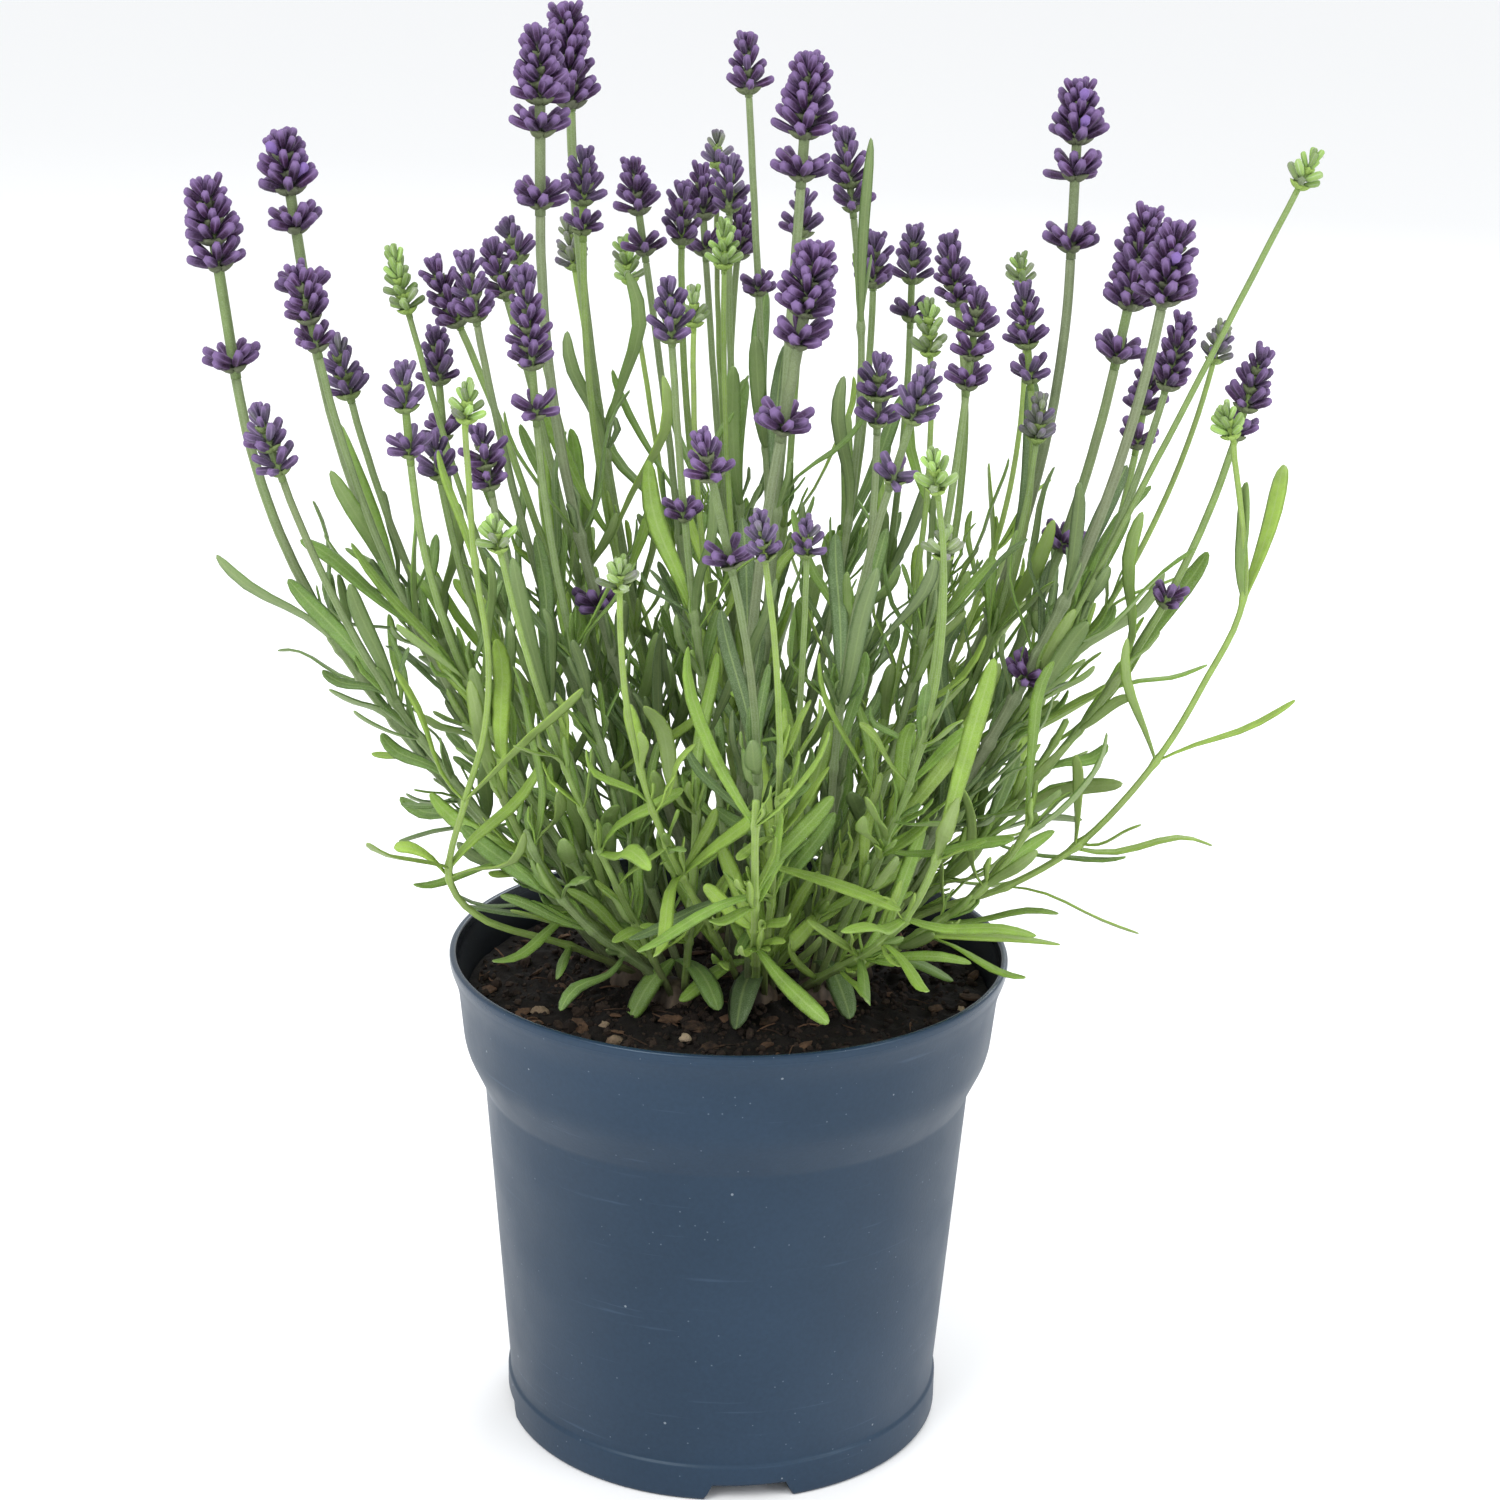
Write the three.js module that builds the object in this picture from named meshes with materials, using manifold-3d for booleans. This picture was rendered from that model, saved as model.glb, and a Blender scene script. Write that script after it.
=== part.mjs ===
// Potted hidcote lavender: a blue nursery pot, its peat, and a bushy plant in flower.
// Millimetres, +Z up. The origin is the middle of the foot ring, on the surface that the pot stands on.
// The front of the plant, the side that is usually seen, looks along -Y.

import * as THREE from 'three';
import { mergeVertices } from 'three/addons/utils/BufferGeometryUtils.js';
import Module from 'manifold-3d';

const wasm = await Module();
wasm.setup();

// Driving dimensions of the pot

const RIM_RADIUS = 70;
const POT_HEIGHT = 125;
const WALL = 1.6;
const LIP_HEIGHT = 2.4;
const LIP_ROOT = 8;            // from the rim down to where the flare of the lip ends
const COLLAR_TOP_RADIUS = 67.9;
const COLLAR_LOW_RADIUS = 66.3;
const COLLAR_LOW = 101;        // height of the collar's lower edge
const BODY_TOP_RADIUS = 61.4;
const BODY_TOP = 90.5;         // height where the tapered body meets the collar
const FOOT_LINE = 9.6;         // height of the thin step above the foot
const FOOT_LINE_RADIUS = 55.2;
const FOOT_RADIUS = 55.9;
const FOOT_STEP = 0.6;
const FOOT_RING_WIDTH = 4.6;
const FLOOR_UNDERSIDE = 4.6;
const FLOOR_THICKNESS = 1.8;
const NOTCH_HEIGHT = 4.3;
const NOTCH_WIDTH = 22.6;
const NOTCH_ROOF_WIDTH = 18.5;
const NOTCH_COUNT = 4;
const NOTCH_TURN = 7.7;        // degrees that the front notch is turned from straight ahead
const DRAIN_HOLES = 6;
const DRAIN_HOLE_RADIUS = 3.6;
const DRAIN_CIRCLE = 33;
const POT_SIDES = 40;

// Driving dimensions of the peat

const FIT_GAP = 0.3;           // clearance between pieces that touch
const PEAT_EDGE = 113.4;       // height of the peat at the wall
const PEAT_CROWN = 3.2;        // how much higher it lies round the plant
const PEAT_LUMP = 0.9;
const PEAT_SIDES = 20;
const PEAT_RINGS = [0.86, 0.6, 0.3];

// Driving dimensions of the plant

const FOOT_DEPTH = 13;         // how deep a clump's woody foot stands in the peat
const FOOT_THICK = 5.4;
const FOOT_SIDES = 6;
const CROWN_HEIGHT = 122;      // where the stems of a clump part
const FOOT_SPREAD = 3.8;       // radius of the circle of stems on a foot
const ROOT_SINK = 2.5;         // how deep a stem is sunk in the foot
const CLEAR = 1.2;             // kept between pieces of different clumps, besides their own radii
const CLEAR_OWN = 0.35;        // kept between leaves of one clump
const CROWN_FREE = 4;          // height above the crown up to which stems of one clump may touch
const MOST_CROWDED = -0.5;     // the least room with which a piece is still placed
const STEM_FROM = 0.02;        // share of a stem, from its foot, where its room starts to count
const STEM_BALLS = 3;          // spacing of the balls along stems and leaves
const STEM_RADIUS = { A: 1.15, B: 0.85, C: 0.68, leafy: 0.85 };
const SPIKES = {
  A: { buds: 5, pitch: 3.9, core: 2.2, bud: 6.2, thick: 3.6, reach: 7.6 },
  B: { buds: 4, pitch: 4.3, core: 1.4, bud: 5.2, thick: 3.3, reach: 5 },
  C: { buds: 3, pitch: 3.5, core: 1.0, bud: 4.3, thick: 2.8, reach: 3.7 },
};
const BUD_TILT_LOW = 64;       // degrees between a bud and the stem in the lowest whorl
const BUD_TILT_HIGH = 38;      // the same in the highest whorl
const BUD_SHORTER = 0.22;      // by what share the highest buds are shorter than the lowest
const BUD_THINNER = 0.3;       // and thinner
const BUD_BELLY = 0.52;        // where a bud is thickest, as a share of its length
const CORE_THINNER = 0.35;     // by what share a head's own stem is thinner at the top
const MIDDLE_Y = 5;            // the plant's own middle, a little behind the pot's
const SHOOT_AIM = 40;
const SHOOT_TRIES = 8;
const SHOOT_TURNS = [-0.6, 0.7];
const SHOOT_NODES = [0.38, 0.68, 0.93];
const STEM_NODES = { A: [0.28, 0.6], B: [0.28, 0.6], C: [0.38] };
const LEAF_TRIES = 5;
const LEAF_FLOOR = 131;        // leaves placed by rule stay above this over the pot
const LEAF_DEPTH = 101;        // and within this distance before or behind the pot's axis
const LEAF_OUTSIDE = 14;       // how much lower they may hang outside the pot
const RIM_MARGIN = 4;          // width round the rim that still counts as over the pot
const LOW_FOLIAGE = 165;       // below this height leaves are shorter and stand out more
const LEAF_THICK = 1.5;
const BROAD_LEAF = 5.45;       // leaves wider than this get one more bend
const BROAD_STATIONS = [[0.4, 0.92], [0.8, 0.86]];   // share of length, share of width
const NARROW_STATIONS = [[0.55, 1.2]];
const HANGING_STATIONS = [[0, 0.4], [0.4, 0.92], [0.8, 0.86]];
const LONGEST_BAND = 0.4;      // longest stretch of a stem between two rings, as a share of it
const NODE_BAND = 2.4;         // length of stem that a pair of leaves takes
const WHORL_BAND = 2.2;        // length of stem that a separate whorl takes
const LEAF_REACH = 2.1;        // radius that a leaf keeps free round its midrib

// Colours

const POT_BLUE = { color: 0x42597a, roughness: 0.42, metalness: 0 };
const PEAT_BROWN = { color: 0x2a201b, roughness: 0.95, metalness: 0 };
const LEAF_GREEN = { color: 0x6f9b3f, roughness: 0.62, metalness: 0 };
const BUD_VIOLET = { color: 0x4a3768, roughness: 0.7, metalness: 0 };

// The plant was measured on the upright plane through the pot's axis, as seen from one viewpoint.
// A point is given as across, up and depth: its place on that plane, then moved along the line of
// sight until it lies depth behind the plane (or in front of it, when depth is negative).

const VIEW_DISTANCE = 701;
const VIEW_HEIGHT = 402;
const viewpoint = new THREE.Vector3(0, -VIEW_DISTANCE, VIEW_HEIGHT);

function seenAt(across, up, depth) {
  const onPlane = new THREE.Vector3(across, 0, up);
  return viewpoint.clone().lerp(onPlane, 1 + depth / VIEW_DISTANCE);
}

// Clumps: name, where the woody foot stands in the peat (x, y), and the number of young leafy shoots.

const CLUMPS = {
  left: [-25, -2, 2],
  left_back: [-17, 17, 1],
  left_front: [-14, -16, 2],
  back_left: [-3, 27, 1],
  back: [13, 25, 0],
  front: [7, -15, 2],
  right_front: [22, -12, 2],
  right: [31, 4, 0],
  right_back: [25, 19, 1],
  middle: [2, 5, 1],
};

// Flower heads: label, clump, size, tip (across, up), base (across, up), depth, and the distances
// below the base of the separate whorls on the same stem. Size A is a big ripe head, B a middling
// one and C a young one. A green head is part of its clump.

const HEADS = [
  ['01', 'left', 'A', -125, 314, -123, 298, 4, [6, 30]],
  ['02', 'left', 'A', -107, 325, -105, 310, 16, [9, 24]],
  ['03', 'left', 'B', -104, 294, -101, 280, -10, [6.5]],
  ['04', 'left', 'B', -96, 278, -92, 262, 12, []],
  ['05', 'left', 'B', -115, 261, -111, 249, -24, [5.5]],
  ['07', 'left_back', 'B', -72, 280, -71, 266, 24, [13.5]],
  ['10', 'left_back', 'B', -73, 296, -66, 280, 14, []],
  ['11', 'left_back', 'B', -65, 298, -62, 281, -4, []],
  ['14', 'left_back', 'B', -59, 301, -55, 287, 20, []],
  ['15', 'left_back', 'B', -55, 306, -52, 295, 62, []],
  ['08', 'left_front', 'B', -80, 272, -79, 259, -30, [10.5]],
  ['09', 'left_front', 'B', -73, 255, -71, 243, -12, []],
  ['12', 'left_front', 'B', -62, 257, -60, 246, -22, [5]],
  ['16', 'left_front', 'B', -51, 295, -49, 270, -26, [11.5]],
  ['18', 'back_left', 'A', -41, 355, -40, 331, 40, []],
  ['19', 'back_left', 'B', -37, 322, -37, 309, 22, [7]],
  ['20', 'back_left', 'C', -41, 306, -39, 294, 72, []],
  ['21', 'back_left', 'B', -26, 320, -24, 307, 46, [10]],
  ['25', 'back', 'B', -14, 315, -14, 300, 58, []],
  ['28', 'back', 'B', -10, 319, -9, 306, 80, [9]],
  ['29', 'back', 'C', -6, 327, -6, 318, 90, []],
  ['30', 'back', 'B', -3, 321, -3, 308, 64, []],
  ['32', 'back', 'B', 0, 310, -1, 297, 84, []],
  ['34', 'back', 'B', 0, 349, 1, 335, 34, []],
  ['33', 'front', 'B', -9, 257, -6, 244, -84, [21]],
  ['40', 'front', 'C', 5, 238, 7, 225, -90, []],
  ['41', 'front', 'C', 17, 236, 17, 226, -62, []],
  ['26', 'front', 'B', -17, 293, -16, 277, -26, []],
  ['42', 'right_front', 'B', 33, 276, 33, 264, -24, [6]],
  ['46', 'right_front', 'B', 56, 292, 55, 280, -12, [5.5, 12.5]],
  ['47', 'right_front', 'B', 45, 273, 41, 259, -48, [15]],
  ['52', 'right', 'C', 72, 267, 71, 255, 6, []],
  ['54', 'right', 'A', 95, 311, 91, 287, 22, [13]],
  ['55', 'right', 'A', 102, 308, 99, 288, -18, []],
  ['56', 'right', 'B', 98, 277, 96, 262, 34, [8.5]],
  ['57', 'right', 'B', 105, 286, 101, 268, -8, []],
  ['58', 'right', 'B', 124, 279, 120, 263, -2, [6.5]],
  ['43', 'right_back', 'B', 40, 306, 40, 292, 66, [9.5]],
  ['44', 'right_back', 'B', 48, 304, 51, 287, 26, []],
  ['51', 'right_back', 'B', 66, 293, 68, 277, 10, [8]],
  ['53', 'right_back', 'A', 77, 340, 77, 325, 14, [8.5, 25.5]],
  ['59', 'right_back', 'C', 114, 285, 112, 275, 52, []],
  ['17', 'middle', 'A', -47, 349, -47, 332, 2, [7.5, 24]],
  ['35', 'middle', 'A', 15, 345, 14, 325, 4, [9.5]],
  ['36', 'middle', 'A', 18, 302, 15, 284, -38, [7.5, 28]],
  ['37', 'middle', 'B', 14, 314, 14, 302, 84, []],
  ['38', 'middle', 'B', 23, 328, 25, 314, 34, [5.5]],
  ['39', 'middle', 'B', 31, 304, 31, 291, 54, []],
];

const GREEN_HEADS = [
  ['06', 'left_back', 'C', -82, 299, -78, 283, 2, []],
  ['13', 'left_front', 'C', -59, 235, -57, 226, -66, []],
  ['22', 'back_left', 'C', -28, 302, -26, 291, 80, []],
  ['27', 'back', 'C', -11, 291, -11, 281, 18, []],
  ['31', 'back', 'C', -4, 306, -4, 295, 14, []],
  ['63', 'front', 'C', -28, 225, -28, 217, -84, []],
  ['45', 'right_front', 'C', 44, 289, 45, 275, 2, []],
  ['48', 'right_front', 'C', 46, 254, 48, 242, -84, []],
  ['49', 'right_front', 'C', 50, 235, 50, 226, -56, []],
  ['50', 'right_back', 'C', 65, 300, 66, 292, 78, []],
  ['60', 'right', 'C', 133, 325, 129, 316, -16, []],
];

// Two stems leave the crown almost level and then turn up: points of their routes, from foot to head.

const LEFT_ARCH = [
  [-24, 121, -2], [-40, 124, -14], [-62, 131, -30], [-70, 141, -38], [-66, 162, -46],
  [-61, 180, -52], [-60, 200, -56], [-63, 223, -60], [-65, 256, -64],
];
const RIGHT_ARCH = [
  [31, 124, 4], [48, 134, -2], [69, 142, -10], [87, 154, -14], [104, 175, -16],
  [115, 196, -18], [123, 217, -20], [118, 256, -24],
];
const ARCH_HEADS = [
  ['left', 'C', LEFT_ARCH, -64, 267],
  ['right', 'C', RIGHT_ARCH, 115, 265],
];

// Leaves that stand out by themselves, most of them on the arches: stem, place on it and tip (across,
// up, depth), width, and how far the middle of the leaf is bowed upwards.

const SINGLE_LEAVES = [
  ['38', [26, 282, 30], [29.5, 325, 16], 5.5, 2],
  ['arch_left', LEFT_ARCH[1], [-43, 114, -30], 4, 3],
  ['arch_left', LEFT_ARCH[3], [-84, 150, -40], 4.2, 6],
  ['arch_left', LEFT_ARCH[3], [-50, 152, -50], 4, -4],
  ['arch_left', LEFT_ARCH[4], [-82, 196, -50], 5.5, -5],
  ['arch_left', LEFT_ARCH[4], [-36, 190, -64], 5.5, 3],
  ['arch_left', LEFT_ARCH[7], [-72, 250, -50], 4, 0],
  ['arch_right', RIGHT_ARCH[2], [103, 130, -20], 3, 4],
  ['arch_right', RIGHT_ARCH[3], [101, 160, -22], 3.5, -4],
  ['arch_right', RIGHT_ARCH[4], [94, 206, -24], 3, -3],
  ['arch_right', RIGHT_ARCH[4], [137, 193, -20], 3.5, -3],
  ['arch_right', RIGHT_ARCH[6], [121, 246, -22], 5, -2],
  ['arch_right', RIGHT_ARCH[6], [130, 252, 4], 5, 2],
];

// Leaves that hang from the woody feet over the peat: clump, root, tip, width and bow.

const HANGING_LEAVES = [
  ['front', [8, 121, -15], [3, 106, -32], 7, 6],
  ['front', [6, 121, -16], [-9, 112, -28], 4, 5],
  ['left_front', [-14, 121, -17], [-23, 108, -25], 4.5, 6],
  ['left_front', [-13, 121, -17], [-4, 111, -32], 4.5, 5],
  ['right', [31, 121, 2], [53, 118, -6], 5, 7],
  ['right_front', [22, 121, -13], [30, 110, -30], 4.5, 6],
];

// Pairs of buds far below their head, among the leaves: stem, and its share of the stem's length.

const FAR_WHORLS = [['17', 0.5], ['26', 0.75], ['34', 0.78], ['55', 0.48], ['54', 0.72], ['58', 0.74]];

// Seeded draws: the same sequence on every build.

let drawState = 8997;

function draw(low, high) {
  drawState = (drawState * 16807) % 2147483647;
  return low + (high - low) * (drawState / 2147483647);
}

// Chains of balls stand for the pieces while they are placed, so that no piece is put through another.

const placed = [];

function chain(curve, radius, spacing, from, to) {
  const steps = Math.max(2, Math.ceil((curve.getLength() * (to - from)) / spacing));
  const balls = [];
  for (let i = 0; i <= steps; i += 1) {
    const point = curve.getPointAt(from + ((to - from) * i) / steps);
    balls.push({ point, radius: typeof radius === 'function' ? radius(i / steps) : radius });
  }
  return balls;
}

function room(balls, clump, parent) {
  let least = Infinity;
  for (const other of placed) {
    if (other.stem === parent && parent !== null) continue;
    const margin = other.clump === clump ? CLEAR_OWN : CLEAR;
    for (const ball of balls) {
      if (ball.point.z < CROWN_HEIGHT + CROWN_FREE && other.clump === clump) continue;
      const gap = ball.point.distanceTo(other.point) - ball.radius - other.radius - margin;
      if (gap < least) least = gap;
    }
  }
  return least;
}

function place(balls, clump, stem) {
  for (const ball of balls) placed.push({ ...ball, clump, stem });
}

// The stems of a clump stand round its foot in the order of the ways that they lean, and the one that
// leans least stands in the middle, so that they fan out without crossing.

const roots = {};

function shootName(clump, turn) {
  return `shoot_${clump}_${turn}`;
}

function shootTurns(clump) {
  return SHOOT_TURNS.slice(0, CLUMPS[clump][2]);
}

function outwardsOf(clump) {
  const [x, y] = CLUMPS[clump];
  return Math.atan2(y - MIDDLE_Y, x);
}

for (const [clump, [x, y]] of Object.entries(CLUMPS)) {
  const own = (row) => row[1] === clump;
  const aims = [...HEADS, ...GREEN_HEADS].filter(own)
    .map((row) => ({ name: row[0], aim: seenAt(row[5], row[6], row[7]) }));
  for (const [arch, , route] of ARCH_HEADS) {
    if (arch === clump) aims.push({ name: `arch_${arch}`, aim: seenAt(...route[2]) });
  }
  for (const turn of shootTurns(clump)) {
    const angle = outwardsOf(clump) + turn;
    const aim = new THREE.Vector3(x + SHOOT_AIM * Math.cos(angle), y + SHOOT_AIM * Math.sin(angle), 0);
    aims.push({ name: shootName(clump, turn), aim });
  }
  const middle = new THREE.Vector3();
  for (const { aim } of aims) middle.addScaledVector(aim, 1 / aims.length);
  for (const item of aims) {
    const [dx, dy] = [item.aim.x - middle.x, item.aim.y - middle.y];
    item.away = Math.hypot(dx, dy);
    item.azimuth = Math.atan2(dy, dx);
  }
  aims.sort((one, other) => one.away - other.away);
  const [upright, ...round] = aims;
  round.sort((one, other) => one.azimuth - other.azimuth);
  const step = (2 * Math.PI) / round.length;
  const start = round.reduce((sum, { azimuth }, i) => sum + azimuth - i * step, 0) / round.length;
  const height = CROWN_HEIGHT - ROOT_SINK;
  roots[upright.name] = new THREE.Vector3(x, y, height);
  round.forEach(({ name }, i) => {
    const angle = start + i * step;
    const [dx, dy] = [FOOT_SPREAD * Math.cos(angle), FOOT_SPREAD * Math.sin(angle)];
    roots[name] = new THREE.Vector3(x + dx, y + dy, height);
  });
}

// A stem leaves its foot a little flatter than the straight way to its end, and ends along its head.

const FOOT_PULL = new THREE.Vector3(0.34, 0.34, 0.28);
const END_PULL = 0.42;

function stemCurve(root, end, direction) {
  const rise = end.clone().sub(root);
  const first = root.clone().add(rise.clone().multiply(FOOT_PULL));
  const second = end.clone().addScaledVector(direction, -END_PULL * rise.length());
  return new THREE.CubicBezierCurve3(root, first, second, end);
}

// A head that has no room where it was measured moves along the line of sight by the first shift that
// gives it room. Heads in front lean forwards and heads behind lean back.

const DEPTH_SHIFTS = [0, 5, -5, 10, -10, 15, -15, 20, -20, 26, -26, 32, -32];
const LEAN_PER_DEPTH = 1 / 320;

function headAt(row, shift) {
  const [label, clump, size, tipAcross, tipUp, baseAcross, baseUp, depth, whorls] = row;
  const base = seenAt(baseAcross, baseUp, depth + shift);
  const flatTip = seenAt(tipAcross, tipUp, depth + shift);
  const length = flatTip.distanceTo(base);
  const tip = seenAt(tipAcross, tipUp, depth + shift + (depth + shift) * LEAN_PER_DEPTH * length);
  const direction = tip.clone().sub(base).normalize();
  const drop = whorls.length ? whorls[whorls.length - 1] + 2 : 1;
  const foot = base.clone().addScaledVector(direction, -drop);
  const curve = stemCurve(roots[label], foot, direction);
  const reach = SPIKES[size].reach;
  const balls = [
    ...chain(curve, STEM_RADIUS[size], STEM_BALLS, STEM_FROM, 1),
    ...chain(new THREE.LineCurve3(base, tip), reach, 2.5, 0, 1),
  ];
  for (const whorl of whorls) {
    balls.push({ point: base.clone().addScaledVector(direction, 3 - whorl), radius: reach });
  }
  return { label, clump, size, base, direction, foot, curve, length, whorls, balls };
}

function firstWithRoom(options, clump, parent) {
  let best = null;
  for (const option of options) {
    const least = room(option.balls, clump, parent);
    if (least >= 0) return option;
    if (best === null || least > best.least) best = { option, least };
  }
  return best.least > MOST_CROWDED ? best.option : { ...best.option, blocked: true };
}

const heads = [];
const stems = [];

for (const row of [...HEADS, ...GREEN_HEADS]) {
  const options = DEPTH_SHIFTS.map((shift) => headAt(row, shift));
  const head = firstWithRoom(options, row[1], null);
  head.green = GREEN_HEADS.includes(row);
  place(head.balls, head.clump, head.label);
  heads.push(head);
  const { clump, curve, size, label } = head;
  stems.push({ clump, curve, size, radius: STEM_RADIUS[size], name: label });
}

for (const [clump, size, route, tipAcross, tipUp] of ARCH_HEADS) {
  const rest = route.slice(1).map((point) => seenAt(...point));
  const label = `arch_${clump}`;
  const curve = new THREE.CatmullRomCurve3([roots[label], ...rest], false, 'centripetal');
  const foot = rest[rest.length - 1];
  const tip = seenAt(tipAcross, tipUp, route[route.length - 1][2]);
  const direction = tip.clone().sub(foot).normalize();
  const base = foot.clone().addScaledVector(direction, 1);
  const length = base.distanceTo(tip);
  const balls = chain(curve, STEM_RADIUS[size], STEM_BALLS, STEM_FROM, 1);
  balls.push({ point: base.clone().lerp(tip, 0.5), radius: SPIKES[size].reach });
  place(balls, clump, label);
  heads.push({ label, clump, size, base, direction, foot, curve, length, whorls: [], green: true });
  stems.push({ clump, curve, size, radius: STEM_RADIUS[size], name: label });
}

// Young leafy shoots, two at most to a clump, lean outwards from it.

function shootOptions(clump, turn) {
  const start = roots[shootName(clump, turn)];
  const options = [];
  for (let i = 0; i < SHOOT_TRIES; i += 1) {
    const azimuth = outwardsOf(clump) + turn + draw(-0.4, 0.4);
    const lean = draw(0.35, 0.95);
    const length = draw(62, 100);
    const out = new THREE.Vector3(Math.cos(azimuth), Math.sin(azimuth), 0);
    const rise = new THREE.Vector3(0, 0, 1);
    const end = start.clone().addScaledVector(out, length * Math.sin(lean));
    end.addScaledVector(rise, length * Math.cos(lean));
    const direction = out.clone().multiplyScalar(Math.sin(lean * 0.5));
    direction.addScaledVector(rise, Math.cos(lean * 0.5));
    const curve = stemCurve(start, end, direction);
    const balls = chain(curve, STEM_RADIUS.leafy, STEM_BALLS, STEM_FROM, 1);
    options.push({ curve, balls });
  }
  return options;
}

for (const clump of Object.keys(CLUMPS)) {
  for (const turn of shootTurns(clump)) {
    const option = firstWithRoom(shootOptions(clump, turn), clump, null);
    if (option.blocked) continue;
    const name = shootName(clump, turn);
    place(option.balls, clump, name);
    stems.push({ clump, curve: option.curve, radius: STEM_RADIUS.leafy, name, leafy: true });
  }
}

// A leaf: its midrib starts on the stem and bends, and its blade lies across it.

function leafAt(clump, stem, share, outward, end, width, across) {
  const root = stem.curve.getPointAt(share);
  const curve = new THREE.QuadraticBezierCurve3(root, root.clone().add(outward), end);
  const reach = (part) => LEAF_REACH * (part < 0.15 ? 0.4 : 1);
  const side = across.clone().normalize();
  const balls = chain(curve, reach, STEM_BALLS, 0.12, 1);
  return { clump, stem: stem.name, share, curve, width, side, balls };
}

const leaves = [];
const UP = new THREE.Vector3(0, 0, 1);

function shareNear(curve, point) {
  const shares = Array.from({ length: 101 }, (_, i) => i / 100);
  const gaps = shares.map((share) => curve.getPointAt(share).distanceTo(point));
  return shares[gaps.indexOf(Math.min(...gaps))];
}

for (const [name, place3, to, width, bow] of SINGLE_LEAVES) {
  const stem = stems.find((item) => item.name === name);
  const share = shareNear(stem.curve, seenAt(...place3));
  const root = stem.curve.getPointAt(share);
  const end = seenAt(...to);
  const along = end.clone().sub(root);
  const outward = along.clone().multiplyScalar(0.5).addScaledVector(UP, bow);
  const leaf = leafAt(stem.clump, stem, share, outward, end, width, UP.clone().cross(along));
  place(leaf.balls, stem.clump, name);
  leaves.push(leaf);
}

// Leaves that hang from a clump's foot over the peat.

const hanging = HANGING_LEAVES.map(([clump, from, to, width, bow]) => {
  const [root, end] = [seenAt(...from), seenAt(...to)];
  const along = end.clone().sub(root);
  const middle = root.clone().addScaledVector(along, 0.5).addScaledVector(UP, bow);
  const curve = new THREE.QuadraticBezierCurve3(root, middle, end);
  const leaf = { clump, curve, width, side: UP.clone().cross(along).normalize() };
  place(chain(curve, LEAF_REACH, STEM_BALLS, 0.3, 1), clump, 'hanging');
  return leaf;
});

// Opposite leaves by rule: a pair at each node, each pair turned a quarter against the one below.

function pairLeaf(stem, share, turn) {
  const root = stem.curve.getPointAt(share);
  const tangent = stem.curve.getTangentAt(share);
  const low = root.z < LOW_FOLIAGE;
  const out = UP.clone().cross(tangent).normalize().applyAxisAngle(tangent, turn);
  const spread = low ? draw(0.75, 1.15) : draw(0.4, 0.75);
  const length = low ? draw(26, 40) : draw(34, 48);
  const start = tangent.clone().multiplyScalar(Math.cos(spread)).addScaledVector(out, Math.sin(spread));
  const lift = new THREE.Vector3(0, 0, low ? draw(-0.35, 0.25) : draw(0.1, 0.6));
  const finish = start.clone().add(lift).normalize();
  const end = root.clone().addScaledVector(start, length * 0.5).addScaledVector(finish, length * 0.5);
  const side = tangent.clone().cross(start);
  return leafAt(stem.clump, stem, share, start.multiplyScalar(length * 0.5), end, draw(4.4, 5.4), side);
}

function keepsInBounds(leaf) {
  return leaf.balls.every(({ point }) => {
    const overPot = Math.hypot(point.x, point.y) < RIM_RADIUS + RIM_MARGIN;
    const floor = LEAF_FLOOR - (overPot ? 0 : LEAF_OUTSIDE);
    return point.z > floor && Math.abs(point.y) < LEAF_DEPTH;
  });
}

function growPair(stem, share, turn) {
  for (const half of [0, Math.PI]) {
    for (let i = 0; i < LEAF_TRIES; i += 1) {
      const leaf = pairLeaf(stem, share, turn + half + draw(-0.5, 0.5) * i);
      if (!keepsInBounds(leaf) || room(leaf.balls, stem.clump, stem.name) < 0) continue;
      place(leaf.balls, stem.clump, stem.name);
      leaves.push(leaf);
      break;
    }
  }
}

for (const stem of stems) {
  const first = draw(0, Math.PI);
  const shares = stem.leafy ? SHOOT_NODES : STEM_NODES[stem.size];
  shares.forEach((share, k) => growPair(stem, share, first + (k * Math.PI) / 2));
}

// Solids: closed skins built from rings of points, joined and cut where pieces meet.

function solidOf(positions, faces) {
  let volume = 0;
  const [a, b, c] = [new THREE.Vector3(), new THREE.Vector3(), new THREE.Vector3()];
  for (let i = 0; i < faces.length; i += 3) {
    a.fromArray(positions, faces[i] * 3);
    b.fromArray(positions, faces[i + 1] * 3);
    c.fromArray(positions, faces[i + 2] * 3);
    volume += a.dot(b.cross(c));
  }
  const turned = volume < 0 ? faces.slice().reverse() : faces;
  return new wasm.Manifold(new wasm.Mesh({
    numProp: 3,
    vertProperties: new Float32Array(positions),
    triVerts: new Uint32Array(turned),
  }));
}

function solidOfGeometry(geometry) {
  geometry.deleteAttribute('normal');
  geometry.deleteAttribute('uv');
  const merged = mergeVertices(geometry, 1e-4);
  const index = Array.from(merged.index.array);
  const faces = [];
  for (let i = 0; i < index.length; i += 3) {
    const [a, b, c] = index.slice(i, i + 3);
    if (a !== b && b !== c && c !== a) faces.push(a, b, c);
  }
  return solidOf(Array.from(merged.attributes.position.array), faces);
}

// Two directions across a line; the first stays as near as it can to a hint.

function acrossLine(direction, hint) {
  const first = hint.clone().addScaledVector(direction, -hint.dot(direction)).normalize();
  return [first, direction.clone().cross(first)];
}

function middleOf(points) {
  return points.reduce((sum, point) => sum.add(point), new THREE.Vector3()).divideScalar(points.length);
}

// How many places a three-cornered ring is turned so that it faces the one below without a twist.

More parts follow.
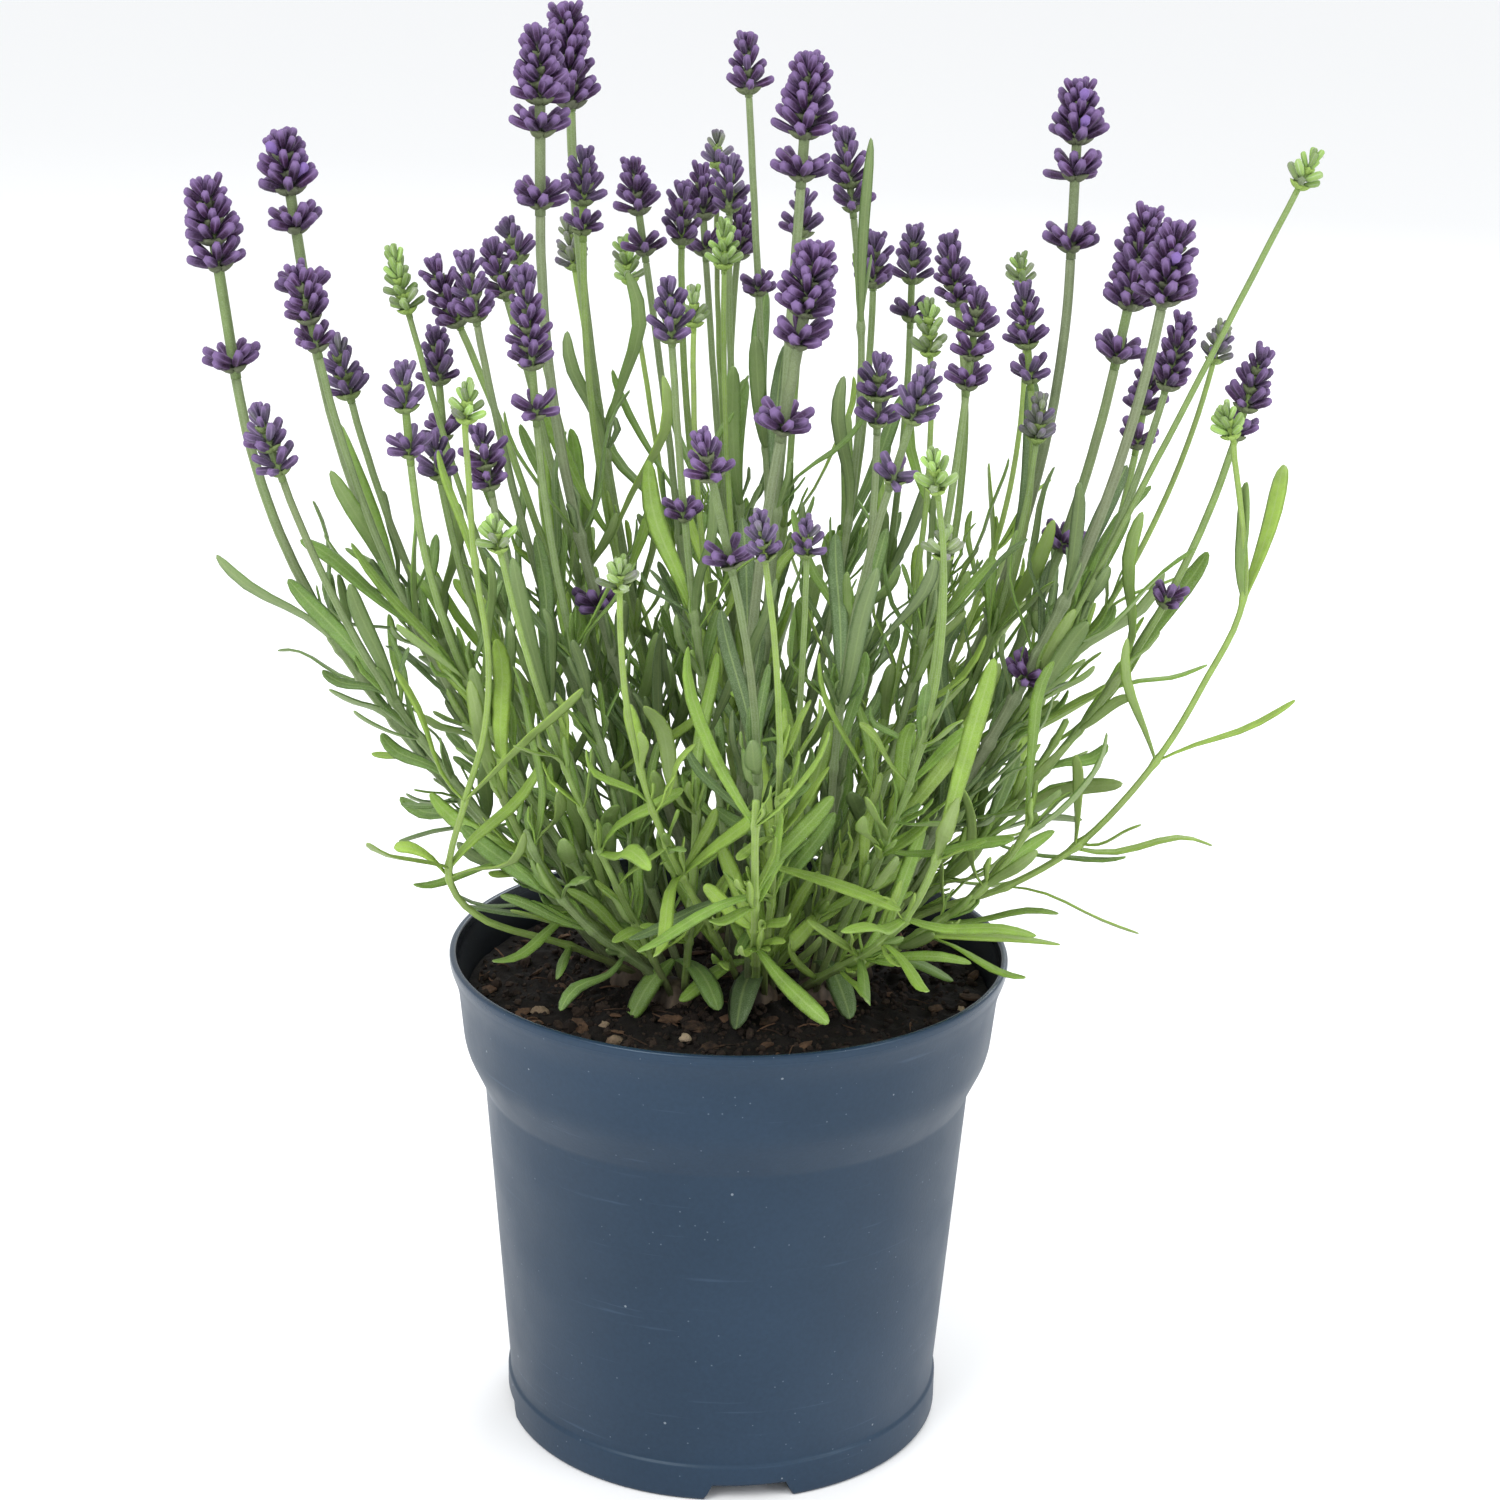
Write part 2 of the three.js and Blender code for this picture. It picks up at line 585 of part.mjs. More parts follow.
function leastTwist(below, ring) {
  const [low, high] = [middleOf(below), middleOf(ring)];
  const fits = [0, 1, 2].map((turn) => below.reduce((sum, point, j) => {
    const across = ring[(j + turn) % 3].clone().sub(high).normalize();
    return sum + across.dot(point.clone().sub(low).normalize());
  }, 0));
  return fits.indexOf(Math.max(...fits));
}

// A skin is a tube of rings with leaves and buds that grow out of single faces of it.

class Skin {
  constructor(sides) {
    this.sides = sides;
    this.positions = [];
    this.faces = [];
  }

  add(point) {
    return this.positions.push(point.x, point.y, point.z) / 3 - 1;
  }

  spot(index) {
    return new THREE.Vector3().fromArray(this.positions, index * 3);
  }

  ring(centre, [u, v], radius, turned) {
    return Array.from({ length: this.sides }, (_, j) => {
      const angle = ((j + (turned ? 0.5 : 0)) * 2 * Math.PI) / this.sides;
      const point = centre.clone().addScaledVector(u, radius * Math.cos(angle));
      return this.add(point.addScaledVector(v, radius * Math.sin(angle)));
    });
  }

  straightBand(low, high, growths = []) {
    for (let j = 0; j < this.sides; j += 1) {
      const next = (j + 1) % this.sides;
      this.growOrClose([low[j], high[next], high[j]], growths[j]);
      this.faces.push(low[j], low[next], high[next]);
    }
  }

  turnedBand(low, high, lowTurned, growth = null, every = 1) {
    for (let j = 0; j < this.sides; j += 1) {
      const next = (j + 1) % this.sides;
      const above = lowTurned ? next : j;
      this.growOrClose([low[j], low[next], high[above]], j % every === 0 ? growth : null);
      this.faces.push(low[next], high[(above + 1) % this.sides], high[above]);
    }
  }

  growOrClose(corners, growth) {
    if (!growth) {
      this.faces.push(...corners);
      return;
    }
    const spots = corners.map((corner) => this.spot(corner));
    const { rings, tip } = growth(spots);
    const turn = leastTwist(spots, rings[0]);
    let last = corners;
    for (const ring of rings) {
      const here = [0, 1, 2].map((j) => this.add(ring[(j + turn) % 3]));
      for (let j = 0; j < 3; j += 1) {
        const next = (j + 1) % 3;
        this.faces.push(last[j], last[next], here[next]);
        this.faces.push(last[j], here[next], here[j]);
      }
      last = here;
    }
    const end = this.add(tip);
    for (let j = 0; j < 3; j += 1) this.faces.push(last[j], last[(j + 1) % 3], end);
  }

  closeLow(ring) {
    for (let j = 1; j + 1 < this.sides; j += 1) this.faces.push(ring[0], ring[j + 1], ring[j]);
  }

  closeAt(ring, point) {
    const top = this.add(point);
    for (let j = 0; j < this.sides; j += 1) this.faces.push(ring[j], ring[(j + 1) % this.sides], top);
  }

  solid() {
    return solidOf(this.positions, this.faces);
  }
}

// A leaf's blade is three-cornered across: its two edges and a keel below.

function bladeRings(leaf, stations) {
  return stations.map(([share, wide]) => {
    const point = leaf.curve.getPointAt(share);
    const down = leaf.side.clone().cross(leaf.curve.getTangentAt(share)).normalize();
    const half = leaf.width * 0.5 * wide;
    return [
      point.clone().addScaledVector(down, LEAF_THICK),
      point.clone().addScaledVector(leaf.side, half),
      point.clone().addScaledVector(leaf.side, -half),
    ];
  });
}

function leafGrowth(leaf) {
  const stations = leaf.width > BROAD_LEAF ? BROAD_STATIONS : NARROW_STATIONS;
  return () => ({ rings: bladeRings(leaf, stations), tip: leaf.curve.getPointAt(1) });
}

function hangingBlade(leaf) {
  const skin = new Skin(3);
  const rings = bladeRings(leaf, HANGING_STATIONS).map((ring) => ring.map((point) => skin.add(point)));
  for (let k = 0; k + 1 < rings.length; k += 1) skin.straightBand(rings[k], rings[k + 1]);
  skin.closeLow(rings[0]);
  skin.closeAt(rings[rings.length - 1], leaf.curve.getPointAt(1));
  return skin.solid();
}

// A bud is three-sided, widest at its middle, and leans out from the stem.

function budGrowth(origin, axis, { length, thick, tilt }) {
  return (points) => {
    const root = middleOf(points);
    const out = root.clone().sub(origin);
    out.addScaledVector(axis, -out.dot(axis)).normalize();
    const angle = THREE.MathUtils.degToRad(tilt);
    const along = axis.clone().multiplyScalar(Math.cos(angle)).addScaledVector(out, Math.sin(angle));
    const middle = root.clone().addScaledVector(along, length * BUD_BELLY);
    const belly = points.map((point) => {
      const off = point.clone().sub(root);
      off.addScaledVector(along, -off.dot(along)).normalize();
      return middle.clone().addScaledVector(off, thick * 0.6);
    });
    return { rings: [belly], tip: root.clone().addScaledVector(along, length) };
  };
}

// Rings of a flower spike, from the lowest separate whorl up: distance along the axis, radius, and
// the buds that grow between this ring and the next.

function spikeRings(head) {
  const { pitch, core, bud, thick } = SPIKES[head.size];
  const radius = STEM_RADIUS[head.size];
  const rings = [];
  for (const whorl of [...head.whorls].reverse()) {
    rings.push({ at: -whorl, radius, bud: { length: bud, thick, tilt: BUD_TILT_LOW }, every: 2 });
    rings.push({ at: -whorl + WHORL_BAND, radius: radius * 0.95 });
  }
  const count = Math.max(2, Math.round((head.length - bud * 0.45) / pitch));
  const step = (head.length - bud * 0.55) / count;
  for (let k = 0; k < count; k += 1) {
    const share = k / (count - 1);
    const grown = {
      length: bud * (1 - BUD_SHORTER * share),
      thick: thick * (1 - BUD_THINNER * share),
      tilt: THREE.MathUtils.lerp(BUD_TILT_LOW, BUD_TILT_HIGH, share),
    };
    const wide = core * (k === 0 ? 0.75 : 1) * (1 - CORE_THINNER * share);
    rings.push({ at: step * k, radius: wide, bud: grown });
  }
  rings.push({ at: step * count, radius: core * 0.5 });
  return rings;
}

function growSpike(skin, head, frame, below) {
  const rings = spikeRings(head);
  const spots = rings.map(({ at, radius }, k) => {
    const centre = head.base.clone().addScaledVector(head.direction, at);
    return skin.ring(centre, frame, radius, k % 2 === 1);
  });
  skin.turnedBand(below, spots[0], true);
  for (let k = 0; k + 1 < spots.length; k += 1) {
    const growth = rings[k].bud ? budGrowth(head.base, head.direction, rings[k].bud) : null;
    skin.turnedBand(spots[k], spots[k + 1], k % 2 === 1, growth, rings[k].every);
  }
  const tip = head.base.clone().addScaledVector(head.direction, head.length);
  skin.closeAt(spots[spots.length - 1], tip);
}

function spikeSolid(head) {
  const skin = new Skin(SPIKES[head.size].buds);
  const frame = acrossLine(head.direction, new THREE.Vector3(0.3, -1, 0.2));
  const start = head.foot.clone().addScaledVector(head.direction, FIT_GAP);
  const lowest = skin.ring(start, frame, STEM_RADIUS[head.size], true);
  skin.closeLow(lowest);
  growSpike(skin, head, frame, lowest);
  return skin.solid();
}

// A stem's rings lie at its foot, below and above each pair of leaves or whorl of buds, and where it
// bends. Each leaf grows from the face that looks its way.

function stemCuts(stem, nodes) {
  const length = stem.curve.getLength();
  const cuts = [{ share: 0 }];
  const ends = [...nodes, { share: 1 }];
  for (const node of ends) {
    const last = cuts[cuts.length - 1].share;
    const parts = Math.ceil((node.share - last) / LONGEST_BAND);
    for (let i = 1; i < parts; i += 1) cuts.push({ share: last + ((node.share - last) * i) / parts });
    cuts.push(node);
    if (node.share < 1) cuts.push({ share: node.share + NODE_BAND / length });
  }
  return cuts;
}

function growthsFor(node, stem, [u, v], tangent) {
  if (node.whorl) {
    const bud = { length: SPIKES[stem.size].bud, thick: SPIKES[stem.size].thick, tilt: BUD_TILT_LOW };
    return [0, 1, 2].map(() => budGrowth(stem.curve.getPointAt(node.share), tangent, bud));
  }
  const growths = [];
  for (const leaf of node.leaves || []) {
    const away = leaf.curve.getTangentAt(0.1);
    const faces = [0, 1, 2].map((j) => {
      const angle = ((j + 0.5) * 2 * Math.PI) / 3;
      return { j, fit: Math.cos(angle) * away.dot(u) + Math.sin(angle) * away.dot(v) };
    });
    const free = faces.filter(({ j }) => !growths[j]).sort((a, b) => b.fit - a.fit)[0];
    growths[free.j] = leafGrowth(leaf);
  }
  return growths;
}

function stemSolid(stem) {
  const nodes = [];
  for (const leaf of leaves.filter((item) => item.stem === stem.name)) {
    const node = nodes.find((item) => item.share === leaf.share);
    if (node) node.leaves.push(leaf);
    else nodes.push({ share: leaf.share, leaves: [leaf] });
  }
  for (const [name, share] of FAR_WHORLS) {
    if (name === stem.name) nodes.push({ share, whorl: true });
  }
  nodes.sort((a, b) => a.share - b.share);
  const skin = new Skin(3);
  let hint = new THREE.Vector3(0.7, 0.7, 0.1);
  let last = null;
  let frame = null;
  for (const cut of stemCuts(stem, nodes)) {
    const tangent = stem.curve.getTangentAt(cut.share);
    frame = acrossLine(tangent, hint);
    [hint] = frame;
    const radius = stem.radius * (1.25 - 0.1 * cut.share);
    const ring = skin.ring(stem.curve.getPointAt(cut.share), frame, radius, false);
    if (last) skin.straightBand(last.ring, ring, growthsFor(last.cut, stem, frame, tangent));
    else skin.closeLow(ring);
    last = { ring, cut };
  }
  const head = heads.find((item) => item.green && item.label === stem.name);
  if (head) {
    const below = head.base.clone().addScaledVector(head.direction, -0.5);
    const turned = skin.ring(below, frame, stem.radius, true);
    skin.turnedBand(last.ring, turned, false);
    growSpike(skin, head, frame, turned);
  } else {
    const out = stem.curve.getTangentAt(1).multiplyScalar(stem.leafy ? 3 * stem.radius : 0.01);
    skin.closeAt(last.ring, stem.curve.getPointAt(1).add(out));
  }
  return skin.solid();
}

// The pot: its outline goes from under the floor round the foot, up the outside, over the lip and
// down the inside. Notches in the foot ring and holes in the floor let water out.

function potOutline() {
  const lipRoot = POT_HEIGHT - LIP_ROOT;
  const outline = [
    [0, FLOOR_UNDERSIDE],
    [FOOT_RADIUS - FOOT_RING_WIDTH - 0.8, FLOOR_UNDERSIDE],
    [FOOT_RADIUS - FOOT_RING_WIDTH, 0],
    [FOOT_RADIUS, 0],
    [FOOT_RADIUS, FOOT_LINE - FOOT_STEP],
    [FOOT_LINE_RADIUS, FOOT_LINE],
    [BODY_TOP_RADIUS, BODY_TOP],
    [COLLAR_LOW_RADIUS, COLLAR_LOW],
    [COLLAR_TOP_RADIUS, lipRoot],
    [RIM_RADIUS, POT_HEIGHT - LIP_HEIGHT],
    [RIM_RADIUS, POT_HEIGHT - 0.6],
    [RIM_RADIUS - 0.6, POT_HEIGHT],
    [RIM_RADIUS - WALL, POT_HEIGHT],
    [COLLAR_TOP_RADIUS - WALL, lipRoot],
    [COLLAR_LOW_RADIUS - WALL, COLLAR_LOW],
    [BODY_TOP_RADIUS - WALL, BODY_TOP],
    [FOOT_LINE_RADIUS - WALL, FLOOR_UNDERSIDE + FLOOR_THICKNESS],
    [0, FLOOR_UNDERSIDE + FLOOR_THICKNESS],
  ];
  return outline.map(([x, y]) => new THREE.Vector2(x, y));
}

function standing(outline, sides) {
  return solidOfGeometry(new THREE.LatheGeometry(outline, sides).rotateX(Math.PI / 2));
}

function makePot() {
  let pot = standing(potOutline(), POT_SIDES);
  const roof = NOTCH_ROOF_WIDTH / 2;
  const foot = NOTCH_WIDTH / 2;
  const shape = new THREE.Shape([
    new THREE.Vector2(-foot - 0.5, -1), new THREE.Vector2(foot + 0.5, -1),
    new THREE.Vector2(roof, NOTCH_HEIGHT), new THREE.Vector2(-roof, NOTCH_HEIGHT),
  ]);
  const inner = FOOT_RADIUS - FOOT_RING_WIDTH - 6;
  for (let i = 0; i < NOTCH_COUNT; i += 1) {
    const notch = new THREE.ExtrudeGeometry(shape, { depth: RIM_RADIUS - inner, bevelEnabled: false });
    notch.rotateX(Math.PI / 2);
    notch.translate(0, -inner, 0);
    notch.rotateZ(THREE.MathUtils.degToRad(NOTCH_TURN) + (i * 2 * Math.PI) / NOTCH_COUNT);
    pot = pot.subtract(solidOfGeometry(notch));
  }
  for (let i = 0; i < DRAIN_HOLES; i += 1) {
    const hole = new THREE.CylinderGeometry(DRAIN_HOLE_RADIUS, DRAIN_HOLE_RADIUS, 10, 6);
    const angle = (i * 2 * Math.PI) / DRAIN_HOLES;
    hole.rotateX(Math.PI / 2);
    hole.translate(DRAIN_CIRCLE * Math.cos(angle), DRAIN_CIRCLE * Math.sin(angle), FLOOR_UNDERSIDE);
    pot = pot.subtract(solidOfGeometry(hole));
  }
  return pot;
}

// The peat fills the pot to a little below its rim, with a plain hole for the foot of each clump.

function footPeg(clump, gap) {
  const [x, y] = CLUMPS[clump];
  const low = PEAT_EDGE - FOOT_DEPTH - gap;
  const height = CROWN_HEIGHT - low + (gap > 0 ? 20 : 0);
  const radius = FOOT_THICK + gap;
  const peg = new THREE.CylinderGeometry(radius, radius, height, FOOT_SIDES);
  peg.rotateX(Math.PI / 2);
  peg.translate(x, y, low + height / 2);
  return solidOfGeometry(peg);
}

function makePeat() {
  const floor = FLOOR_UNDERSIDE + FLOOR_THICKNESS + FIT_GAP;
  const side = WALL + FIT_GAP;
  const share = (PEAT_EDGE - COLLAR_LOW) / (POT_HEIGHT - LIP_ROOT - COLLAR_LOW);
  const edge = THREE.MathUtils.lerp(COLLAR_LOW_RADIUS, COLLAR_TOP_RADIUS, share) - side;
  const outline = [
    [0, floor],
    [FOOT_LINE_RADIUS - side, floor],
    [BODY_TOP_RADIUS - side, BODY_TOP],
    [edge, PEAT_EDGE],
    ...PEAT_RINGS.map((ring) => [edge * ring, PEAT_EDGE + PEAT_CROWN * (1 - ring * ring)]),
    [0, PEAT_EDGE + PEAT_CROWN],
  ];
  const lathe = new THREE.LatheGeometry(outline.map(([x, y]) => new THREE.Vector2(x, y)), PEAT_SIDES);
  lathe.deleteAttribute('normal');
  lathe.deleteAttribute('uv');
  const geometry = mergeVertices(lathe.rotateX(Math.PI / 2), 1e-4);
  const spots = geometry.attributes.position;
  for (let i = 0; i < spots.count; i += 1) {
    const away = Math.hypot(spots.getX(i), spots.getY(i));
    const lump = draw(-PEAT_LUMP, PEAT_LUMP);
    if (spots.getZ(i) > PEAT_EDGE - 0.1 && away < edge * 0.9) spots.setZ(i, spots.getZ(i) + lump);
  }
  let peat = solidOfGeometry(geometry);
  for (const clump of Object.keys(CLUMPS)) peat = peat.subtract(footPeg(clump, FIT_GAP));
  return peat;
}

// Each clump joins its foot, its stems with their leaves, and the hanging leaves into one body.

function makeClump(clump) {
  const own = (item) => item.clump === clump;
  return wasm.Manifold.union([
    footPeg(clump, 0),
    ...stems.filter(own).map(stemSolid),
    ...hanging.filter(own).map(hangingBlade),
  ]);
}

// The object as a scene graph

const group = new THREE.Group();

function addMesh(name, solid, finish) {
  const { vertProperties, triVerts, numProp } = solid.getMesh();
  const geometry = new THREE.BufferGeometry();
  const positions = new Float32Array((vertProperties.length / numProp) * 3);
  for (let i = 0; i < positions.length / 3; i += 1) {
    for (let j = 0; j < 3; j += 1) positions[i * 3 + j] = vertProperties[i * numProp + j];
  }
  geometry.setAttribute('position', new THREE.BufferAttribute(positions, 3));
  geometry.setIndex(new THREE.BufferAttribute(new Uint32Array(triVerts), 1));
  geometry.computeVertexNormals();
  const mesh = new THREE.Mesh(geometry, new THREE.MeshStandardMaterial(finish));
  mesh.name = name;
  group.add(mesh);
}

addMesh('pot', makePot(), POT_BLUE);
addMesh('peat', makePeat(), PEAT_BROWN);
for (const clump of Object.keys(CLUMPS)) addMesh(`clump_${clump}`, makeClump(clump), LEAF_GREEN);
for (const head of heads.filter((item) => !item.green)) {
  addMesh(`flower_spike_${head.label}`, spikeSolid(head), BUD_VIOLET);
}

export default group;
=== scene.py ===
"""A potted hidcote lavender: a blue nursery pot, peat, and a bushy plant in flower.

Lengths are in millimetres until a mesh is made. The plant is laid out by the same rule as its solids,
and every solid is replaced by a finer piece of the same form.
"""

import math

import bpy
import numpy as np
from mathutils import Matrix, Vector
from mathutils.geometry import delaunay_2d_cdt


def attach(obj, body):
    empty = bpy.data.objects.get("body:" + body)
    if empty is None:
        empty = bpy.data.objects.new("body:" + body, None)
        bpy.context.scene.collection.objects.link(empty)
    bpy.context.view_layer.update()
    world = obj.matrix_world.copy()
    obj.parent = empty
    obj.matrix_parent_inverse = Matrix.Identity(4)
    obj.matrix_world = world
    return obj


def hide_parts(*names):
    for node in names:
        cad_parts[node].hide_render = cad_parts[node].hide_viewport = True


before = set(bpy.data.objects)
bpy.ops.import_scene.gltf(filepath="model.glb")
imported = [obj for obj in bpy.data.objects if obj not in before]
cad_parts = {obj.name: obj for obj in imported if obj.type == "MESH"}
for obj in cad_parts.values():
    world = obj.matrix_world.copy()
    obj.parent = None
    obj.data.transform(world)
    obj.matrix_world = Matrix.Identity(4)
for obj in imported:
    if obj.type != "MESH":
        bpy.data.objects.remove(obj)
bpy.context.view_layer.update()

# The layout of the plant repeats the rule by which the stems, heads and leaves of the solids were placed,
# with the same seeded draws, so that every piece here lies where its solid does.

VIEW_DISTANCE, VIEW_HEIGHT = 701, 402
VIEWPOINT = np.array([0.0, -VIEW_DISTANCE, VIEW_HEIGHT])
UP = np.array([0.0, 0.0, 1.0])

# The crown of stems, the gaps kept between pieces of two clumps and of one, and the sizes of stems and heads.
CROWN_HEIGHT, ROOT_SINK, FOOT_SPREAD, FOOT_THICK = 122, 2.5, 3.8, 5.4
CLEAR, CLEAR_OWN, CROWN_FREE = 1.2, 0.35, 4
STEM_RADIUS = {"A": 1.15, "B": 0.85, "C": 0.68, "leafy": 0.85}
SPIKE_REACH = {"A": 7.6, "B": 5, "C": 3.7}
MIDDLE_Y = 5
SHOOT_AIM, SHOOT_TRIES, SHOOT_TURNS = 40, 8, (-0.6, 0.7)
SHOOT_SWING, SHOOT_LEAN, SHOOT_LENGTH = 0.4, (0.35, 0.95), (62, 100)
NODES = {"A": (0.28, 0.6), "B": (0.28, 0.6), "C": (0.38,), "leafy": (0.38, 0.68, 0.93)}
LEAF_TRIES, LEAF_FLOOR, LEAF_DEPTH, LOW_FOLIAGE, LEAF_REACH = 5, 131, 101, 165, 2.1
LEAF_WIDTH, BEYOND_RIM, OVERHANG = (4.4, 5.4), 4, 14
RIM_RADIUS = 70
DEPTH_SHIFTS = (0, 5, -5, 10, -10, 15, -15, 20, -20, 26, -26, 32, -32)
LEAN_PER_DEPTH = 1 / 320
BALL_GAP, HEAD_BALL_GAP, STEM_START = 3, 2.5, 0.02
STEM_PULL, HEAD_PULL = (0.34, 0.34, 0.28), 0.42
FOOT_BELOW_WHORL, FOOT_BELOW_HEAD, WHORL_RISE = 2, 1, 3
LEAST_ROOM = -0.5
CHORDS, NEAR = 200, 1e-4
DRAW_FACTOR, DRAW_LIMIT, LAYOUT_SEED = 16807, 2147483647, 8997
# Ranges for the leaves of a pair: the angle from the stem, the length, and the rise of the tip.
LOW_LEAF = (0.75, 1.15), (26, 40), (-0.35, 0.25)
HIGH_LEAF = (0.4, 0.75), (34, 48), (0.1, 0.6)

# Clumps: name, where the woody foot stands in the peat, and the number of young leafy shoots.
CLUMPS = {
    "left": (-25, -2, 2),
    "left_back": (-17, 17, 1),
    "left_front": (-14, -16, 2),
    "back_left": (-3, 27, 1),
    "back": (13, 25, 0),
    "front": (7, -15, 2),
    "right_front": (22, -12, 2),
    "right": (31, 4, 0),
    "right_back": (25, 19, 1),
    "middle": (2, 5, 1),
}

# Flower heads: label, clump, size, tip and base (across, up), depth, and the distances below the base
# of the separate whorls. The green ones are part of their clump.
HEADS = [
    ["01", "left", "A", -125, 314, -123, 298, 4, [6, 30]],
    ["02", "left", "A", -107, 325, -105, 310, 16, [9, 24]],
    ["03", "left", "B", -104, 294, -101, 280, -10, [6.5]],
    ["04", "left", "B", -96, 278, -92, 262, 12, []],
    ["05", "left", "B", -115, 261, -111, 249, -24, [5.5]],
    ["07", "left_back", "B", -72, 280, -71, 266, 24, [13.5]],
    ["10", "left_back", "B", -73, 296, -66, 280, 14, []],
    ["11", "left_back", "B", -65, 298, -62, 281, -4, []],
    ["14", "left_back", "B", -59, 301, -55, 287, 20, []],
    ["15", "left_back", "B", -55, 306, -52, 295, 62, []],
    ["08", "left_front", "B", -80, 272, -79, 259, -30, [10.5]],
    ["09", "left_front", "B", -73, 255, -71, 243, -12, []],
    ["12", "left_front", "B", -62, 257, -60, 246, -22, [5]],
    ["16", "left_front", "B", -51, 295, -49, 270, -26, [11.5]],
    ["18", "back_left", "A", -41, 355, -40, 331, 40, []],
    ["19", "back_left", "B", -37, 322, -37, 309, 22, [7]],
    ["20", "back_left", "C", -41, 306, -39, 294, 72, []],
    ["21", "back_left", "B", -26, 320, -24, 307, 46, [10]],
    ["25", "back", "B", -14, 315, -14, 300, 58, []],
    ["28", "back", "B", -10, 319, -9, 306, 80, [9]],
    ["29", "back", "C", -6, 327, -6, 318, 90, []],
    ["30", "back", "B", -3, 321, -3, 308, 64, []],
    ["32", "back", "B", 0, 310, -1, 297, 84, []],
    ["34", "back", "B", 0, 349, 1, 335, 34, []],
    ["33", "front", "B", -9, 257, -6, 244, -84, [21]],
    ["40", "front", "C", 5, 238, 7, 225, -90, []],
    ["41", "front", "C", 17, 236, 17, 226, -62, []],
    ["26", "front", "B", -17, 293, -16, 277, -26, []],
    ["42", "right_front", "B", 33, 276, 33, 264, -24, [6]],
    ["46", "right_front", "B", 56, 292, 55, 280, -12, [5.5, 12.5]],
    ["47", "right_front", "B", 45, 273, 41, 259, -48, [15]],
    ["52", "right", "C", 72, 267, 71, 255, 6, []],
    ["54", "right", "A", 95, 311, 91, 287, 22, [13]],
    ["55", "right", "A", 102, 308, 99, 288, -18, []],
    ["56", "right", "B", 98, 277, 96, 262, 34, [8.5]],
    ["57", "right", "B", 105, 286, 101, 268, -8, []],
    ["58", "right", "B", 124, 279, 120, 263, -2, [6.5]],
    ["43", "right_back", "B", 40, 306, 40, 292, 66, [9.5]],
    ["44", "right_back", "B", 48, 304, 51, 287, 26, []],
    ["51", "right_back", "B", 66, 293, 68, 277, 10, [8]],
    ["53", "right_back", "A", 77, 340, 77, 325, 14, [8.5, 25.5]],
    ["59", "right_back", "C", 114, 285, 112, 275, 52, []],
    ["17", "middle", "A", -47, 349, -47, 332, 2, [7.5, 24]],
    ["35", "middle", "A", 15, 345, 14, 325, 4, [9.5]],
    ["36", "middle", "A", 18, 302, 15, 284, -38, [7.5, 28]],
    ["37", "middle", "B", 14, 314, 14, 302, 84, []],
    ["38", "middle", "B", 23, 328, 25, 314, 34, [5.5]],
    ["39", "middle", "B", 31, 304, 31, 291, 54, []],
]
GREEN_HEADS = [
    ["06", "left_back", "C", -82, 299, -78, 283, 2, []],
    ["13", "left_front", "C", -59, 235, -57, 226, -66, []],
    ["22", "back_left", "C", -28, 302, -26, 291, 80, []],
    ["27", "back", "C", -11, 291, -11, 281, 18, []],
    ["31", "back", "C", -4, 306, -4, 295, 14, []],
    ["63", "front", "C", -28, 225, -28, 217, -84, []],
    ["45", "right_front", "C", 44, 289, 45, 275, 2, []],
    ["48", "right_front", "C", 46, 254, 48, 242, -84, []],
    ["49", "right_front", "C", 50, 235, 50, 226, -56, []],
    ["50", "right_back", "C", 65, 300, 66, 292, 78, []],
    ["60", "right", "C", 133, 325, 129, 316, -16, []],
]
# Two arching shoots: their points (across, up, depth), and the tips of their green heads.
LEFT_ARCH = [
    [-24, 121, -2], [-40, 124, -14], [-62, 131, -30], [-70, 141, -38], [-66, 162, -46],
    [-61, 180, -52], [-60, 200, -56], [-63, 223, -60], [-65, 256, -64],
]
RIGHT_ARCH = [
    [31, 124, 4], [48, 134, -2], [69, 142, -10], [87, 154, -14], [104, 175, -16],
    [115, 196, -18], [123, 217, -20], [118, 256, -24],
]
ARCH_HEADS = [
    ["left", "C", LEFT_ARCH, -64, 267],
    ["right", "C", RIGHT_ARCH, 115, 265],
]
# Leaves that stand out: stem, spot on it, tip, width, and how far the middle bows up.
SINGLE_LEAVES = [
    ["38", [26, 282, 30], [29.5, 325, 16], 3.4, 2],
    ["arch_left", LEFT_ARCH[1], [-43, 114, -30], 4, 3],
    ["arch_left", LEFT_ARCH[3], [-84, 150, -40], 4.2, 6],
    ["arch_left", LEFT_ARCH[3], [-50, 152, -50], 4, -4],
    ["arch_left", LEFT_ARCH[4], [-82, 196, -50], 5.5, -5],
    ["arch_left", LEFT_ARCH[4], [-36, 190, -64], 5.5, 3],
    ["arch_left", LEFT_ARCH[7], [-72, 250, -50], 4, 0],
    ["arch_right", RIGHT_ARCH[2], [103, 130, -20], 3, 4],
    ["arch_right", RIGHT_ARCH[3], [101, 160, -22], 3.5, -4],
    ["arch_right", RIGHT_ARCH[4], [94, 206, -24], 3, -3],
    ["arch_right", RIGHT_ARCH[4], [137, 193, -20], 3.5, -3],
    ["arch_right", RIGHT_ARCH[6], [121, 246, -22], 5, -2],
    ["arch_right", RIGHT_ARCH[6], [130, 252, 4], 5, 2],
]
